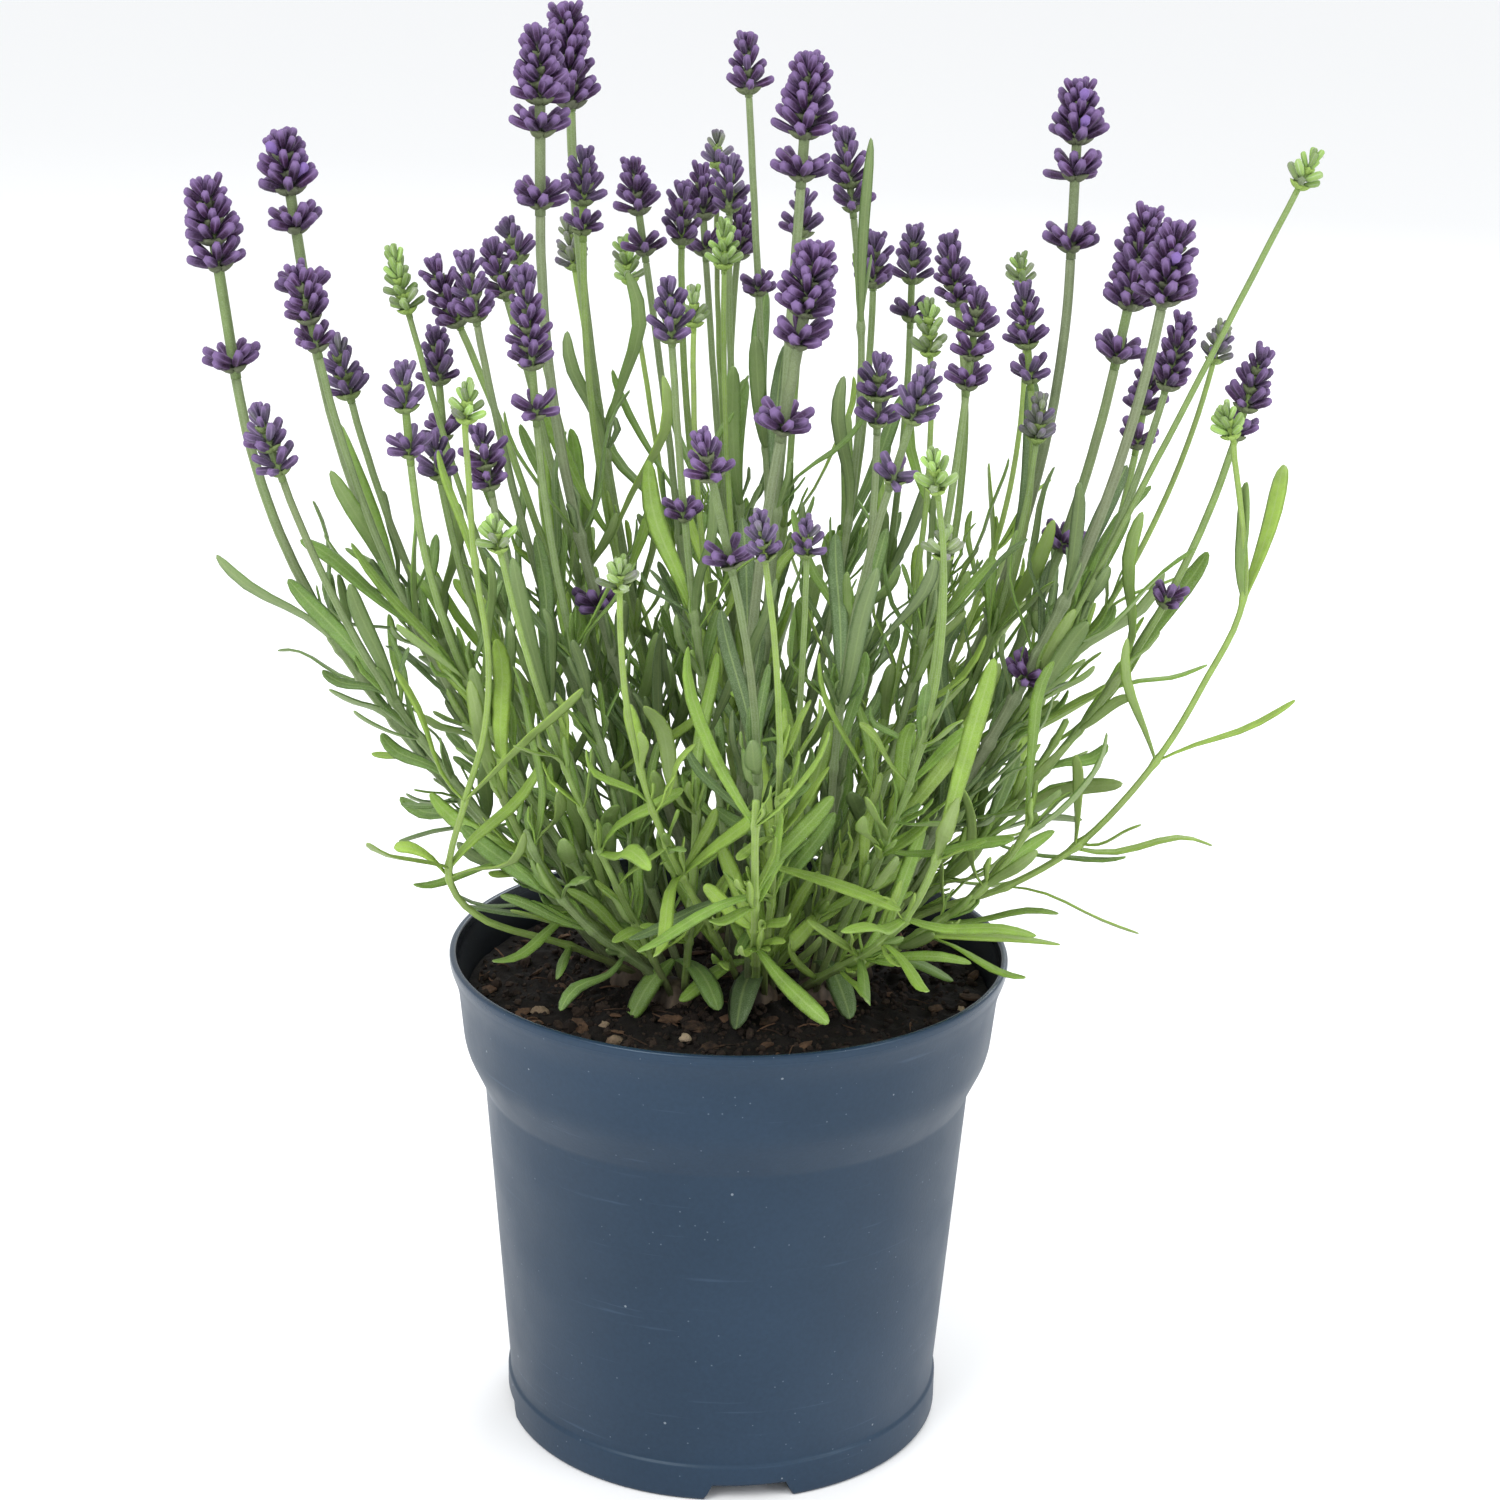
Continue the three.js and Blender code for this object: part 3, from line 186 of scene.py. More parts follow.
# Leaves over the peat: clump, root, tip, width and bow.
HANGING_LEAVES = [
    ["front", [8, 121, -15], [3, 106, -32], 7, 6],
    ["front", [6, 121, -16], [-9, 112, -28], 4, 5],
    ["left_front", [-14, 121, -17], [-23, 108, -25], 4.5, 6],
    ["left_front", [-13, 121, -17], [-4, 111, -32], 4.5, 5],
    ["right", [31, 121, 2], [53, 118, -6], 5, 7],
    ["right_front", [22, 121, -13], [30, 110, -30], 4.5, 6],
]
# Whorls far down a stem: the stem, and the share of its length.
FAR_WHORLS = [["17", 0.5], ["26", 0.75], ["34", 0.78], ["55", 0.48], ["54", 0.72], ["58", 0.74]]


def seen_at(across, up, depth):
    """A point of the upright plane through the axis, moved along its line of sight by depth."""
    return VIEWPOINT + (np.array([across, 0.0, up]) - VIEWPOINT) * (1 + depth / VIEW_DISTANCE)


class Curve:
    """A curve of parameter t from 0 to 1, read by share of its length, which is measured by its chords."""

    def __init__(self, formula):
        self.formula = formula
        self.steps = np.linspace(0, 1, CHORDS + 1)
        chords = np.linalg.norm(np.diff(formula(self.steps), axis=0), axis=1)
        self.lengths = np.concatenate([[0], np.cumsum(chords)])
        self.length = self.lengths[-1]

    def shares(self, share):
        return np.interp(np.asarray(share, float) * self.length, self.lengths, self.steps)

    def at(self, share):
        return self.formula(self.shares(share))

    def along(self, share):
        t = self.shares(share)
        step = self.formula(np.clip(t + NEAR, 0, 1)) - self.formula(np.clip(t - NEAR, 0, 1))
        return step / np.linalg.norm(step, axis=-1, keepdims=True)


def bezier(*points):
    """A Bezier curve: each point weighs by its binomial term of t."""
    points, last = np.array(points), len(points) - 1

    def formula(t):
        t = np.asarray(t, float)[..., None]
        return sum(math.comb(last, k) * (1 - t) ** (last - k) * t**k * p for k, p in enumerate(points))

    return Curve(formula)


def through(points):
    """A smooth curve through points: centripetal cubics, with the ends carried on in a straight line."""
    inner = np.array(points)
    padded = np.vstack([2 * inner[0] - inner[1], inner, 2 * inner[-1] - inner[-2]])
    gaps = np.sum(np.diff(padded, axis=0) ** 2, axis=1) ** 0.25

    def formula(t):
        place = np.asarray(t, float) * (len(inner) - 1)
        k = np.minimum(place.astype(int), len(inner) - 2)
        w = (place - k)[..., None]
        before, low, high, after = (padded[k + j] for j in range(4))
        d0, d1, d2 = (gaps[k + j][..., None] for j in range(3))
        slope0 = ((low - before) / d0 - (high - before) / (d0 + d1) + (high - low) / d1) * d1
        slope1 = ((high - low) / d1 - (after - low) / (d1 + d2) + (after - high) / d2) * d1
        curve2 = 3 * (high - low) - 2 * slope0 - slope1
        curve3 = 2 * (low - high) + slope0 + slope1
        return low + slope0 * w + curve2 * w**2 + curve3 * w**3

    return Curve(formula)


class Draws:
    """Seeded draws, the same on every run."""

    def __init__(self, seed):
        self.state = seed

    def __call__(self, low, high):
        self.state = self.state * DRAW_FACTOR % DRAW_LIMIT
        return low + (high - low) * (self.state / DRAW_LIMIT)


draw = Draws(LAYOUT_SEED)
CLUMP_NAMES = list(CLUMPS)
placed = {"balls": np.empty((0, 4)), "clump": np.empty(0, int), "stem": np.empty(0, object)}


def chain(curve, radius, spacing, start, end):
    """Balls along a curve, as rows of x, y, z and radius."""
    steps = max(2, math.ceil(curve.length * (end - start) / spacing))
    part = np.arange(steps + 1) / steps
    radii = radius(part) if callable(radius) else np.full(steps + 1, float(radius))
    return np.column_stack([curve.at(start + (end - start) * part), radii])


def stem_balls(curve, size):
    return chain(curve, STEM_RADIUS[size], BALL_GAP, STEM_START, 1)


def room(balls, clump, parent=None):
    """The least gap between a chain and everything that is placed, less what they keep clear."""
    others = placed["balls"]
    if not len(others):
        return math.inf
    own = placed["clump"] == CLUMP_NAMES.index(clump)
    away = np.linalg.norm(balls[:, None, :3] - others[None, :, :3], axis=2)
    gaps = away - balls[:, None, 3] - others[:, 3] - np.where(own, CLEAR_OWN, CLEAR)
    gaps[(balls[:, None, 2] < CROWN_HEIGHT + CROWN_FREE) & own] = math.inf
    if parent is not None:
        gaps[:, placed["stem"] == parent] = math.inf
    return gaps.min()


def place(balls, clump, stem):
    placed["balls"] = np.vstack([placed["balls"], balls])
    placed["clump"] = np.append(placed["clump"], np.full(len(balls), CLUMP_NAMES.index(clump)))
    placed["stem"] = np.append(placed["stem"], np.full(len(balls), stem, object))


def unit(v):
    return v / np.linalg.norm(v, axis=-1, keepdims=True)


def shoot_name(clump, turn):
    return f"shoot_{clump}_{turn}"


def shoot_turns(clump):
    return SHOOT_TURNS[: CLUMPS[clump][2]]


def outwards_of(clump):
    x, y = CLUMPS[clump][:2]
    return math.atan2(y - MIDDLE_Y, x)


def stem_roots():
    """The stems of a clump stand round its foot in the order of the ways that they lean."""
    roots = {}
    for clump, (x, y, _) in CLUMPS.items():
        aims = [(row[0], seen_at(*row[5:8])) for row in HEADS + GREEN_HEADS if row[1] == clump]
        aims += [(f"arch_{row[0]}", seen_at(*row[2][2])) for row in ARCH_HEADS if row[0] == clump]
        for turn in shoot_turns(clump):
            angle = outwards_of(clump) + turn
            aim = np.array([x + SHOOT_AIM * math.cos(angle), y + SHOOT_AIM * math.sin(angle), 0])
            aims.append((shoot_name(clump, turn), aim))
        middle = sum(aim for _, aim in aims) / len(aims)
        offs = [(name, aim[:2] - middle[:2]) for name, aim in aims]
        offs.sort(key=lambda item: math.hypot(*item[1]))
        height = CROWN_HEIGHT - ROOT_SINK
        roots[offs[0][0]] = np.array([x, y, height])
        around = sorted((math.atan2(off[1], off[0]), name) for name, off in offs[1:])
        step = 2 * math.pi / len(around)
        start = sum(azimuth - i * step for i, (azimuth, _) in enumerate(around)) / len(around)
        for i, (_, name) in enumerate(around):
            angle = start + i * step
            spot = [x + FOOT_SPREAD * math.cos(angle), y + FOOT_SPREAD * math.sin(angle), height]
            roots[name] = np.array(spot)
    return roots


def stem_curve(root, end, direction):
    rise = end - root
    return bezier(root, root + rise * STEM_PULL, end - direction * HEAD_PULL * np.linalg.norm(rise), end)


def head_at(row, shift, roots):
    """A head moved by a depth along its lines of sight, with its stem, and the balls that fill both."""
    label, clump, size, tip_across, tip_up, base_across, base_up, depth, whorls = row
    base = seen_at(base_across, base_up, depth + shift)
    length = np.linalg.norm(seen_at(tip_across, tip_up, depth + shift) - base)
    lean = (depth + shift) * LEAN_PER_DEPTH * length
    tip = seen_at(tip_across, tip_up, depth + shift + lean)
    direction = unit(tip - base)
    foot = base - direction * (whorls[-1] + FOOT_BELOW_WHORL if whorls else FOOT_BELOW_HEAD)
    curve = stem_curve(roots[label], foot, direction)
    reach = SPIKE_REACH[size]
    balls = [stem_balls(curve, size), chain(bezier(base, tip), reach, HEAD_BALL_GAP, 0, 1)]
    balls += [np.append(base + direction * (WHORL_RISE - whorl), reach)[None] for whorl in whorls]
    return {"label": label, "clump": clump, "size": size, "base": base, "direction": direction,
            "foot": foot, "curve": curve, "length": length, "whorls": whorls, "balls": np.vstack(balls)}


def first_with_room(options, clump):
    """The first option that keeps clear of what is placed, or else the one that comes nearest to it."""
    best, most = None, -math.inf
    for option in options:
        least = room(option["balls"], clump)
        if least >= 0:
            return option
        if least > most:
            best, most = option, least
    return best if most > LEAST_ROOM else dict(best, blocked=True)


def add_stem(stems, name, clump, curve, size):
    stems[name] = {"name": name, "clump": clump, "curve": curve, "size": size,
                   "radius": STEM_RADIUS[size]}


def shoot_options(clump, turn, start):
    for _ in range(SHOOT_TRIES):
        azimuth = outwards_of(clump) + turn + draw(-SHOOT_SWING, SHOOT_SWING)
        lean, length = draw(*SHOOT_LEAN), draw(*SHOOT_LENGTH)
        out = np.array([math.cos(azimuth), math.sin(azimuth), 0])
        end = start + out * length * math.sin(lean) + UP * length * math.cos(lean)
        curve = stem_curve(start, end, out * math.sin(lean * 0.5) + UP * math.cos(lean * 0.5))
        yield {"curve": curve, "balls": stem_balls(curve, "leafy")}


def lay_stems():
    """Heads with their stems first, then the two arches, then the leafy shoots."""
    roots, heads, stems = stem_roots(), [], {}
    for row in HEADS + GREEN_HEADS:
        head = first_with_room([head_at(row, shift, roots) for shift in DEPTH_SHIFTS], row[1])
        head["green"] = row in GREEN_HEADS
        place(head["balls"], head["clump"], head["label"])
        heads.append(head)
        add_stem(stems, head["label"], head["clump"], head["curve"], head["size"])
    for clump, size, route, tip_across, tip_up in ARCH_HEADS:
        label = f"arch_{clump}"
        rest = [seen_at(*point) for point in route[1:]]
        curve = through([roots[label], *rest])
        tip = seen_at(tip_across, tip_up, route[-1][2])
        direction = unit(tip - rest[-1])
        base = rest[-1] + direction
        head_ball = np.append((base + tip) / 2, SPIKE_REACH[size])
        place(np.vstack([stem_balls(curve, size), head_ball]), clump, label)
        heads.append({"label": label, "clump": clump, "size": size, "base": base, "curve": curve,
                      "direction": direction, "foot": rest[-1], "whorls": [], "green": True,
                      "length": np.linalg.norm(tip - base)})
        add_stem(stems, label, clump, curve, size)
    for clump in CLUMPS:
        for turn in shoot_turns(clump):
            name = shoot_name(clump, turn)
            option = first_with_room(list(shoot_options(clump, turn, roots[name])), clump)
            if "blocked" not in option:
                place(option["balls"], clump, name)
                add_stem(stems, name, clump, option["curve"], "leafy")
    return heads, stems


def leaf_reach(part):
    return np.where(part < 0.15, LEAF_REACH * 0.4, LEAF_REACH)


def leaf_at(stem, share, outward, end, width, across, reach=leaf_reach, start=0.12):
    """A leaf on a stem: root, middle and tip, its width and level direction, and the balls that fill it."""
    root = stem["curve"].at(share)
    points = (root, root + outward, end)
    return {"clump": stem["clump"], "stem": stem["name"], "share": share, "points": points, "width": width,
            "side": unit(across), "balls": chain(bezier(*points), reach, BALL_GAP, start, 1)}


def turned(v, axis, angle):
    """A vector turned about a unit axis."""
    cosine, sine = math.cos(angle), math.sin(angle)
    return v * cosine + np.cross(axis, v) * sine + axis * np.dot(axis, v) * (1 - cosine)


def pair_leaf(stem, share, turn):
    """A leaf that leaves its stem at a drawn angle, and rises or sinks in its outer half."""
    root, tangent = stem["curve"].at(share), stem["curve"].along(share)
    out = turned(unit(np.cross(UP, tangent)), tangent, turn)
    spreads, lengths, rises = LOW_LEAF if root[2] < LOW_FOLIAGE else HIGH_LEAF
    spread, length = draw(*spreads), draw(*lengths)
    start = tangent * math.cos(spread) + out * math.sin(spread)
    finish = unit(start + UP * draw(*rises))
    end = root + start * length * 0.5 + finish * length * 0.5
    return leaf_at(stem, share, start * length * 0.5, end, draw(*LEAF_WIDTH), np.cross(tangent, start))


def keeps_in_bounds(leaf):
    x, y, z = leaf["balls"][:, :3].T
    floor = np.where(np.hypot(x, y) < RIM_RADIUS + BEYOND_RIM, LEAF_FLOOR, LEAF_FLOOR - OVERHANG)
    return bool(((z > floor) & (np.abs(y) < LEAF_DEPTH)).all())


def grow_pair(leaves, stem, share, turn):
    """Two leaves opposite each other, each at the first turn tried that has room."""
    for half in (0, math.pi):
        for i in range(LEAF_TRIES):
            leaf = pair_leaf(stem, share, turn + half + draw(-0.5, 0.5) * i)
            if keeps_in_bounds(leaf) and room(leaf["balls"], stem["clump"], stem["name"]) >= 0:
                place(leaf["balls"], stem["clump"], stem["name"])
                leaves.append(leaf)
                break


def lay_leaves(stems):
    """Single leaves that stand out, those that hang over the peat, then a pair at each node."""
    leaves = []
    for name, spot, to, width, bow in SINGLE_LEAVES:
        stem = stems[name]
        shares = np.arange(101) / 100
        share = shares[np.argmin(np.linalg.norm(stem["curve"].at(shares) - seen_at(*spot), axis=1))]
        end = seen_at(*to)
        along = end - stem["curve"].at(share)
        leaf = leaf_at(stem, share, along * 0.5 + UP * bow, end, width, np.cross(UP, along))
        place(leaf["balls"], stem["clump"], name)
        leaves.append(leaf)
    for clump, spot, to, width, bow in HANGING_LEAVES:
        root, end = seen_at(*spot), seen_at(*to)
        points = (root, root + (end - root) * 0.5 + UP * bow, end)
        place(chain(bezier(*points), LEAF_REACH, BALL_GAP, 0.3, 1), clump, "hanging")
        leaves.append({"clump": clump, "stem": "hanging", "share": 0.0, "points": points, "width": width,
                       "side": unit(np.cross(UP, end - root))})
    for stem in stems.values():
        first = draw(0, math.pi)
        for k, share in enumerate(NODES[stem["size"]]):
            grow_pair(leaves, stem, share, first + k * math.pi / 2)
    return leaves


# Meshes: whole arrays of rings of points, gathered in heaps.


class Heap:
    """Shapes gathered into one mesh: points, four- and three-cornered faces, and marks for each point."""

    def __init__(self, marks):
        self.points, self.quads, self.tris = [np.empty((0, 3))], [], []
        self.marks = {name: [] for name in marks}
        self.count = 0

    def add(self, points, quads, tris, **marks):
        self.points.append(points)
        self.quads.append(quads + self.count)
        self.tris.append(tris + self.count)
        for name, values in self.marks.items():
            values.append(np.broadcast_to(marks.get(name, 0.0), len(points)))
        self.count += len(points)

    def piece(self, name, material, slot, replaced, smooth=True):
        """A mesh object from the heap, with each mark as an attribute of its points."""
        quads, tris = np.vstack(self.quads), np.vstack(self.tris)
        mesh = bpy.data.meshes.new(name)
        points = np.vstack(self.points) / 1000
        corners = np.concatenate([quads.ravel(), tris.ravel()])
        starts = np.concatenate([np.arange(len(quads)) * 4, len(quads) * 4 + np.arange(len(tris)) * 3])
        mesh.vertices.add(len(points))
        mesh.vertices.foreach_set("co", points.ravel().astype(np.float32))
        mesh.loops.add(len(corners))
        mesh.loops.foreach_set("vertex_index", corners.astype(np.int32))
        mesh.polygons.add(len(starts))
        mesh.polygons.foreach_set("loop_start", starts.astype(np.int32))
        mesh.polygons.foreach_set("use_smooth", np.full(len(starts), smooth))
        for mark, values in self.marks.items():
            attribute = mesh.attributes.new(mark, "FLOAT", "POINT")
            attribute.data.foreach_set("value", np.concatenate(values).astype(np.float32))
        mesh.update(calc_edges=True)
        mesh.materials.append(material)
        made = bpy.data.objects.new(name, mesh)
        bpy.context.scene.collection.objects.link(made)
        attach(made, "root")
        if replaced:
            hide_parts(replaced)
        return made


def turns(count):
    """Angles evenly round a whole turn."""
    return np.arange(count) * 2 * math.pi / count


def circle(angles):
    """Points (cos a, sin a) of the unit circle."""
    return np.stack([np.cos(angles), np.sin(angles)], axis=-1)


def spun(first, second, angles):
    """Directions cos(a) * first + sin(a) * second, for each angle a."""
    return np.cos(angles)[..., None] * first + np.sin(angles)[..., None] * second


def with_poles(values, low=0, high=0):
    """A mark for each point of a loft, with those of its two poles."""
    return np.concatenate([[low], values, [high]])


def lofts(rings, low, high):
    """Closed tubes, many at once: rings of points (tube, ring, point, xyz), and a pole at each end."""
    count, stations, sides = rings.shape[:3]
    points = np.concatenate([low[:, None], rings.reshape(count, -1, 3), high[:, None]], axis=1)
    j = np.arange(sides)
    after = (j + 1) % sides
    base = 1 + np.arange(stations - 1)[:, None] * sides
    quads = np.stack([base + j, base + after, base + sides + after, base + sides + j], axis=-1).reshape(-1, 4)
    top = 1 + (stations - 1) * sides
    foot = np.stack([np.zeros(sides, int), 1 + after, 1 + j], axis=1)
    roof = np.stack([np.full(sides, top + sides), top + j, top + after], axis=1)
    tris = np.vstack([foot, roof])
    shift = (np.arange(count) * points.shape[1])[:, None, None]
    return points.reshape(-1, 3), (quads + shift).reshape(-1, 4), (tris + shift).reshape(-1, 3)


def across_line(direction, hint):
    """Two directions square to a line, the first as near as it can be to a hint."""
    first = unit(hint - np.sum(hint * direction, axis=-1, keepdims=True) * direction)
    return first, np.cross(direction, first)


def blades(points, side, width, along, wide, section, twist=0.0, sway=0.0, drift=0.0, curl=0.0):
    """Closed blades, many at once. Each follows a bend of three points, and leaves it by
    sway * sin(2 pi t) up, drift * sin(pi t) sideways, and curl * ((t - 0.7) / 0.3)^2 up in its last part;
    at the shares t along, its section is as wide as width * wide, and turned by twist * t about the bend."""
    root, middle, end = (p[:, None] for p in points)
    t = np.asarray(along)[None, :, None]
    centre = (1 - t) ** 2 * root + 2 * t * (1 - t) * middle + t**2 * end
    way = unit((1 - t) * (middle - root) + t * (end - middle))
    flat, up = across_line(way, np.broadcast_to(side[:, None], way.shape))
    sway, drift, curl = (np.asarray(v, float).reshape(-1, 1, 1) for v in (sway, drift, curl))
    hook = curl * np.clip((t - 0.7) / 0.3, 0, 1) ** 2
    tips = points[2] + (curl * up)[:, -1]
    centre = centre + (sway * np.sin(2 * math.pi * t) + hook) * up + drift * np.sin(math.pi * t) * flat
    if sway.any():
        way = unit(np.gradient(centre, axis=1))
        flat, up = across_line(way, flat)
    turn = np.asarray(twist, float).reshape(-1, 1, 1) * t
    flat, up = flat * np.cos(turn) + up * np.sin(turn), up * np.cos(turn) - flat * np.sin(turn)
    half = 0.5 * np.asarray(width, float)[:, None] * np.asarray(wide)[None]
    across = half[:, :, None] * section[None, None, :, 0]
    thick = np.sqrt(half)[:, :, None] * section[None, None, :, 1]
    rings = centre[:, :, None] + across[..., None] * flat[:, :, None] + thick[..., None] * up[:, :, None]
    return lofts(rings, points[0], tips)


def smooth_noise(points, scale, seed):
    """Soft noise from -1 to 1: eight plane waves of seeded directions, about one period per scale."""
    rng = np.random.default_rng(seed)
    ways = unit(rng.normal(size=(8, points.shape[-1]))) * rng.uniform(0.7, 1.6, (8, 1))
    return np.sin(points @ ways.T * (2 * math.pi / scale) + rng.uniform(0, 2 * math.pi, 8)).mean(-1) * 1.6


# The pot: its outline turned about the axis, with rounded corners, and notches in the foot ring.

POT_HEIGHT, WALL, LIP_HEIGHT, LIP_ROOT = 125, 1.6, 2.4, 8
COLLAR_TOP_RADIUS, COLLAR_LOW_RADIUS, COLLAR_LOW = 67.9, 66.3, 101
BODY_TOP_RADIUS, BODY_TOP = 61.4, 90.5
FOOT_LINE, FOOT_LINE_RADIUS, FOOT_RADIUS, FOOT_STEP, FOOT_RING_WIDTH = 9.6, 55.2, 55.9, 0.6, 4.6
FLOOR_UNDERSIDE, FLOOR_THICKNESS = 4.6, 1.8
NOTCH_HEIGHT, NOTCH_WIDTH, NOTCH_ROOF_WIDTH, NOTCH_TURN, NOTCH_COUNT = 4.3, 22.6, 18.5, 7.7, 4
PEAT_EDGE, PEAT_CROWN, PEAT_GAP = 113.4, 3.2, 0.3


def rounded(corners, radii, steps=5):
    """An outline with its corners rounded: at each, a bend from one side to the other, of given reach."""
    corners = np.array(corners, float)
    outline = [corners[:1]]
    for before, corner, after, reach in zip(corners, corners[1:], corners[2:], radii):
        ways = [(p - corner) / np.linalg.norm(p - corner) for p in (before, after)]
        reach = min(reach, *(0.48 * np.linalg.norm(p - corner) for p in (before, after)))
        t = np.linspace(0, 1, steps)[:, None]
        start, end = corner + ways[0] * reach, corner + ways[1] * reach
        outline.append((1 - t) ** 2 * start + 2 * t * (1 - t) * corner + t**2 * end)
    return np.vstack([*outline, corners[-1:]])


def divided(outline, longest):
    """An outline with its long sides cut into parts no longer than longest."""
    parts = [np.linspace(a, b, max(2, math.ceil(np.linalg.norm(b - a) / longest) + 1))[:-1]
             for a, b in zip(outline, outline[1:])]
    return np.vstack([*parts, outline[-1:]])


# The pot's outline as (radius, height), up its outside and down its inside, and how far each is rounded.
POT_CORNERS = [
    (0, FLOOR_UNDERSIDE), (FOOT_RADIUS - FOOT_RING_WIDTH - 0.8, FLOOR_UNDERSIDE),
    (FOOT_RADIUS - FOOT_RING_WIDTH, 0), (FOOT_RADIUS, 0), (FOOT_RADIUS, FOOT_LINE - FOOT_STEP),
    (FOOT_LINE_RADIUS, FOOT_LINE), (BODY_TOP_RADIUS, BODY_TOP), (COLLAR_LOW_RADIUS, COLLAR_LOW),
    (COLLAR_TOP_RADIUS, POT_HEIGHT - LIP_ROOT), (RIM_RADIUS, POT_HEIGHT - LIP_HEIGHT),
    (RIM_RADIUS, POT_HEIGHT), (RIM_RADIUS - WALL, POT_HEIGHT),
    (COLLAR_TOP_RADIUS - WALL, POT_HEIGHT - LIP_ROOT), (COLLAR_LOW_RADIUS - WALL, COLLAR_LOW),
    (BODY_TOP_RADIUS - WALL, BODY_TOP), (FOOT_LINE_RADIUS - WALL, FLOOR_UNDERSIDE + FLOOR_THICKNESS),
    (0, FLOOR_UNDERSIDE + FLOOR_THICKNESS),
]
POT_ROUNDING = (0.4, 0.4, 1.2, 0.5, 0.4, 0.7, 3.2, 4.0, 1.2, 0.8, 0.6, 2.0, 3.0, 3.0, 2.0)
POT_SIDES, LONGEST_SIDE = 240, 6


def notched(points):
    """The foot ring's lowest points lifted to the roof of each notch. The lift falls to nothing over the
    slanting sides of the notch, so that its ends lean as they do on the real pot."""
    around = np.degrees(np.arctan2(points[..., 1], points[..., 0])) + 90 - NOTCH_TURN
    off = np.abs((around + 180 / NOTCH_COUNT) % (360 / NOTCH_COUNT) - 180 / NOTCH_COUNT)
    away = np.radians(off) * FOOT_RADIUS
    slant = (NOTCH_WIDTH - NOTCH_ROOF_WIDTH) / 2
    roof = np.clip((NOTCH_WIDTH / 2 - away) / slant, 0, 1) * NOTCH_HEIGHT
    lifted = points.copy()
    lifted[..., 2] = np.maximum(points[..., 2], roof)
    return lifted


DRAIN_HOLES, DRAIN_HOLE_RADIUS, DRAIN_CIRCLE, DRAIN_SIDES = 6, 3.6, 33, 24
# The pot's outline is turned only outside this radius; triangles round the holes fill the floor.
FLOOR_CUT = 41


def drain_holes():
    """The rims of the drain holes, seen from above: circles evenly round a larger one."""
    centres = DRAIN_CIRCLE * circle(turns(DRAIN_HOLES))
    return centres[:, None] + DRAIN_HOLE_RADIUS * circle(turns(DRAIN_SIDES))


def floor_triangles(edge, holes):
    """Triangles that fill a round edge but not the holes in it. A triangle with all its corners on one
    hole's rim lies in that hole."""
    loops = [np.arange(len(edge))] + [len(edge) + k * DRAIN_SIDES + np.arange(DRAIN_SIDES)
                                      for k in range(DRAIN_HOLES)]
    edges = np.vstack([np.stack([loop, np.roll(loop, -1)], axis=1) for loop in loops])
    spots = [Vector(spot) for spot in np.vstack([edge, holes.reshape(-1, 2)]).tolist()]
    _, _, faces, given, _, _ = delaunay_2d_cdt(spots, edges.tolist(), [], 0, 1e-5)
    faces = np.array([ids[0] for ids in given])[np.array(faces)]
    hole = np.where(faces < len(edge), -1, (faces - len(edge)) // DRAIN_SIDES)
    return faces[~((hole[:, 0] >= 0) & (hole == hole[:, :1]).all(axis=1))]


def make_pot(plastic):
    """The pot: its outline turned round, with notches in the foot ring and round holes through the floor."""
    outline = divided(rounded(POT_CORNERS, POT_ROUNDING), LONGEST_SIDE)
    outline = outline[outline[:, 0] > FLOOR_CUT]
    extra = np.radians(NOTCH_TURN - 90) + turns(NOTCH_COUNT)[:, None]
    edges = np.array([-NOTCH_WIDTH, -NOTCH_ROOF_WIDTH, NOTCH_ROOF_WIDTH, NOTCH_WIDTH]) / 2 / FOOT_RADIUS
    angles = np.sort(np.concatenate([turns(POT_SIDES), ((extra + edges) % (2 * math.pi)).ravel()]))
    radius, height = outline[:, 0, None], outline[:, 1, None]
    rings = np.stack([radius * np.cos(angles), radius * np.sin(angles), height + 0 * angles], axis=-1)
    points, quads, _ = lofts(notched(rings)[None], rings[:1, 0], rings[-1:, 0])
    points, quads = points[1:-1], quads - 1
    holes = drain_holes()
    filling, sides, count = floor_triangles(rings[0, :, :2], holes), len(angles), holes[..., 0].size
    low, high = (np.concatenate([holes.reshape(-1, 2), np.full((count, 1), z)], axis=1)
                 for z in (FLOOR_UNDERSIDE, FLOOR_UNDERSIDE + FLOOR_THICKNESS))
    spot = len(points) + np.arange(count)
    low_ids = np.concatenate([np.arange(sides), spot])
    high_ids = np.concatenate([len(points) - sides + np.arange(sides), spot + count])
    tris = np.vstack([low_ids[filling[:, ::-1]], high_ids[filling]])
    after = len(points) + (np.roll(np.arange(count).reshape(DRAIN_HOLES, -1), -1, axis=1)).ravel()
    walls = np.stack([spot, spot + count, after + count, after], axis=1)
    inside = np.repeat(np.arange(len(outline)) > np.argmax(outline[:, 1]) + 2, sides)
    heap = Heap(["inside"])
    heap.add(np.vstack([points, low, high]), np.vstack([quads, walls]), tris,
             inside=np.concatenate([inside, np.zeros(count), np.ones(count)]))
    return heap.piece("pot_shell", plastic, "pot", "pot")


# The peat: a lumpy bed, with crumbs, fibres, bark and a few stones on it.

PEAT_RADIUS = COLLAR_LOW_RADIUS + (COLLAR_TOP_RADIUS - COLLAR_LOW_RADIUS) * (
    (PEAT_EDGE - COLLAR_LOW) / (POT_HEIGHT - LIP_ROOT - COLLAR_LOW)) - WALL - PEAT_GAP
PEAT_RINGS, PEAT_SIDES, PEAT_CROWDING, PEAT_SEED = 78, 360, 1.15, 11
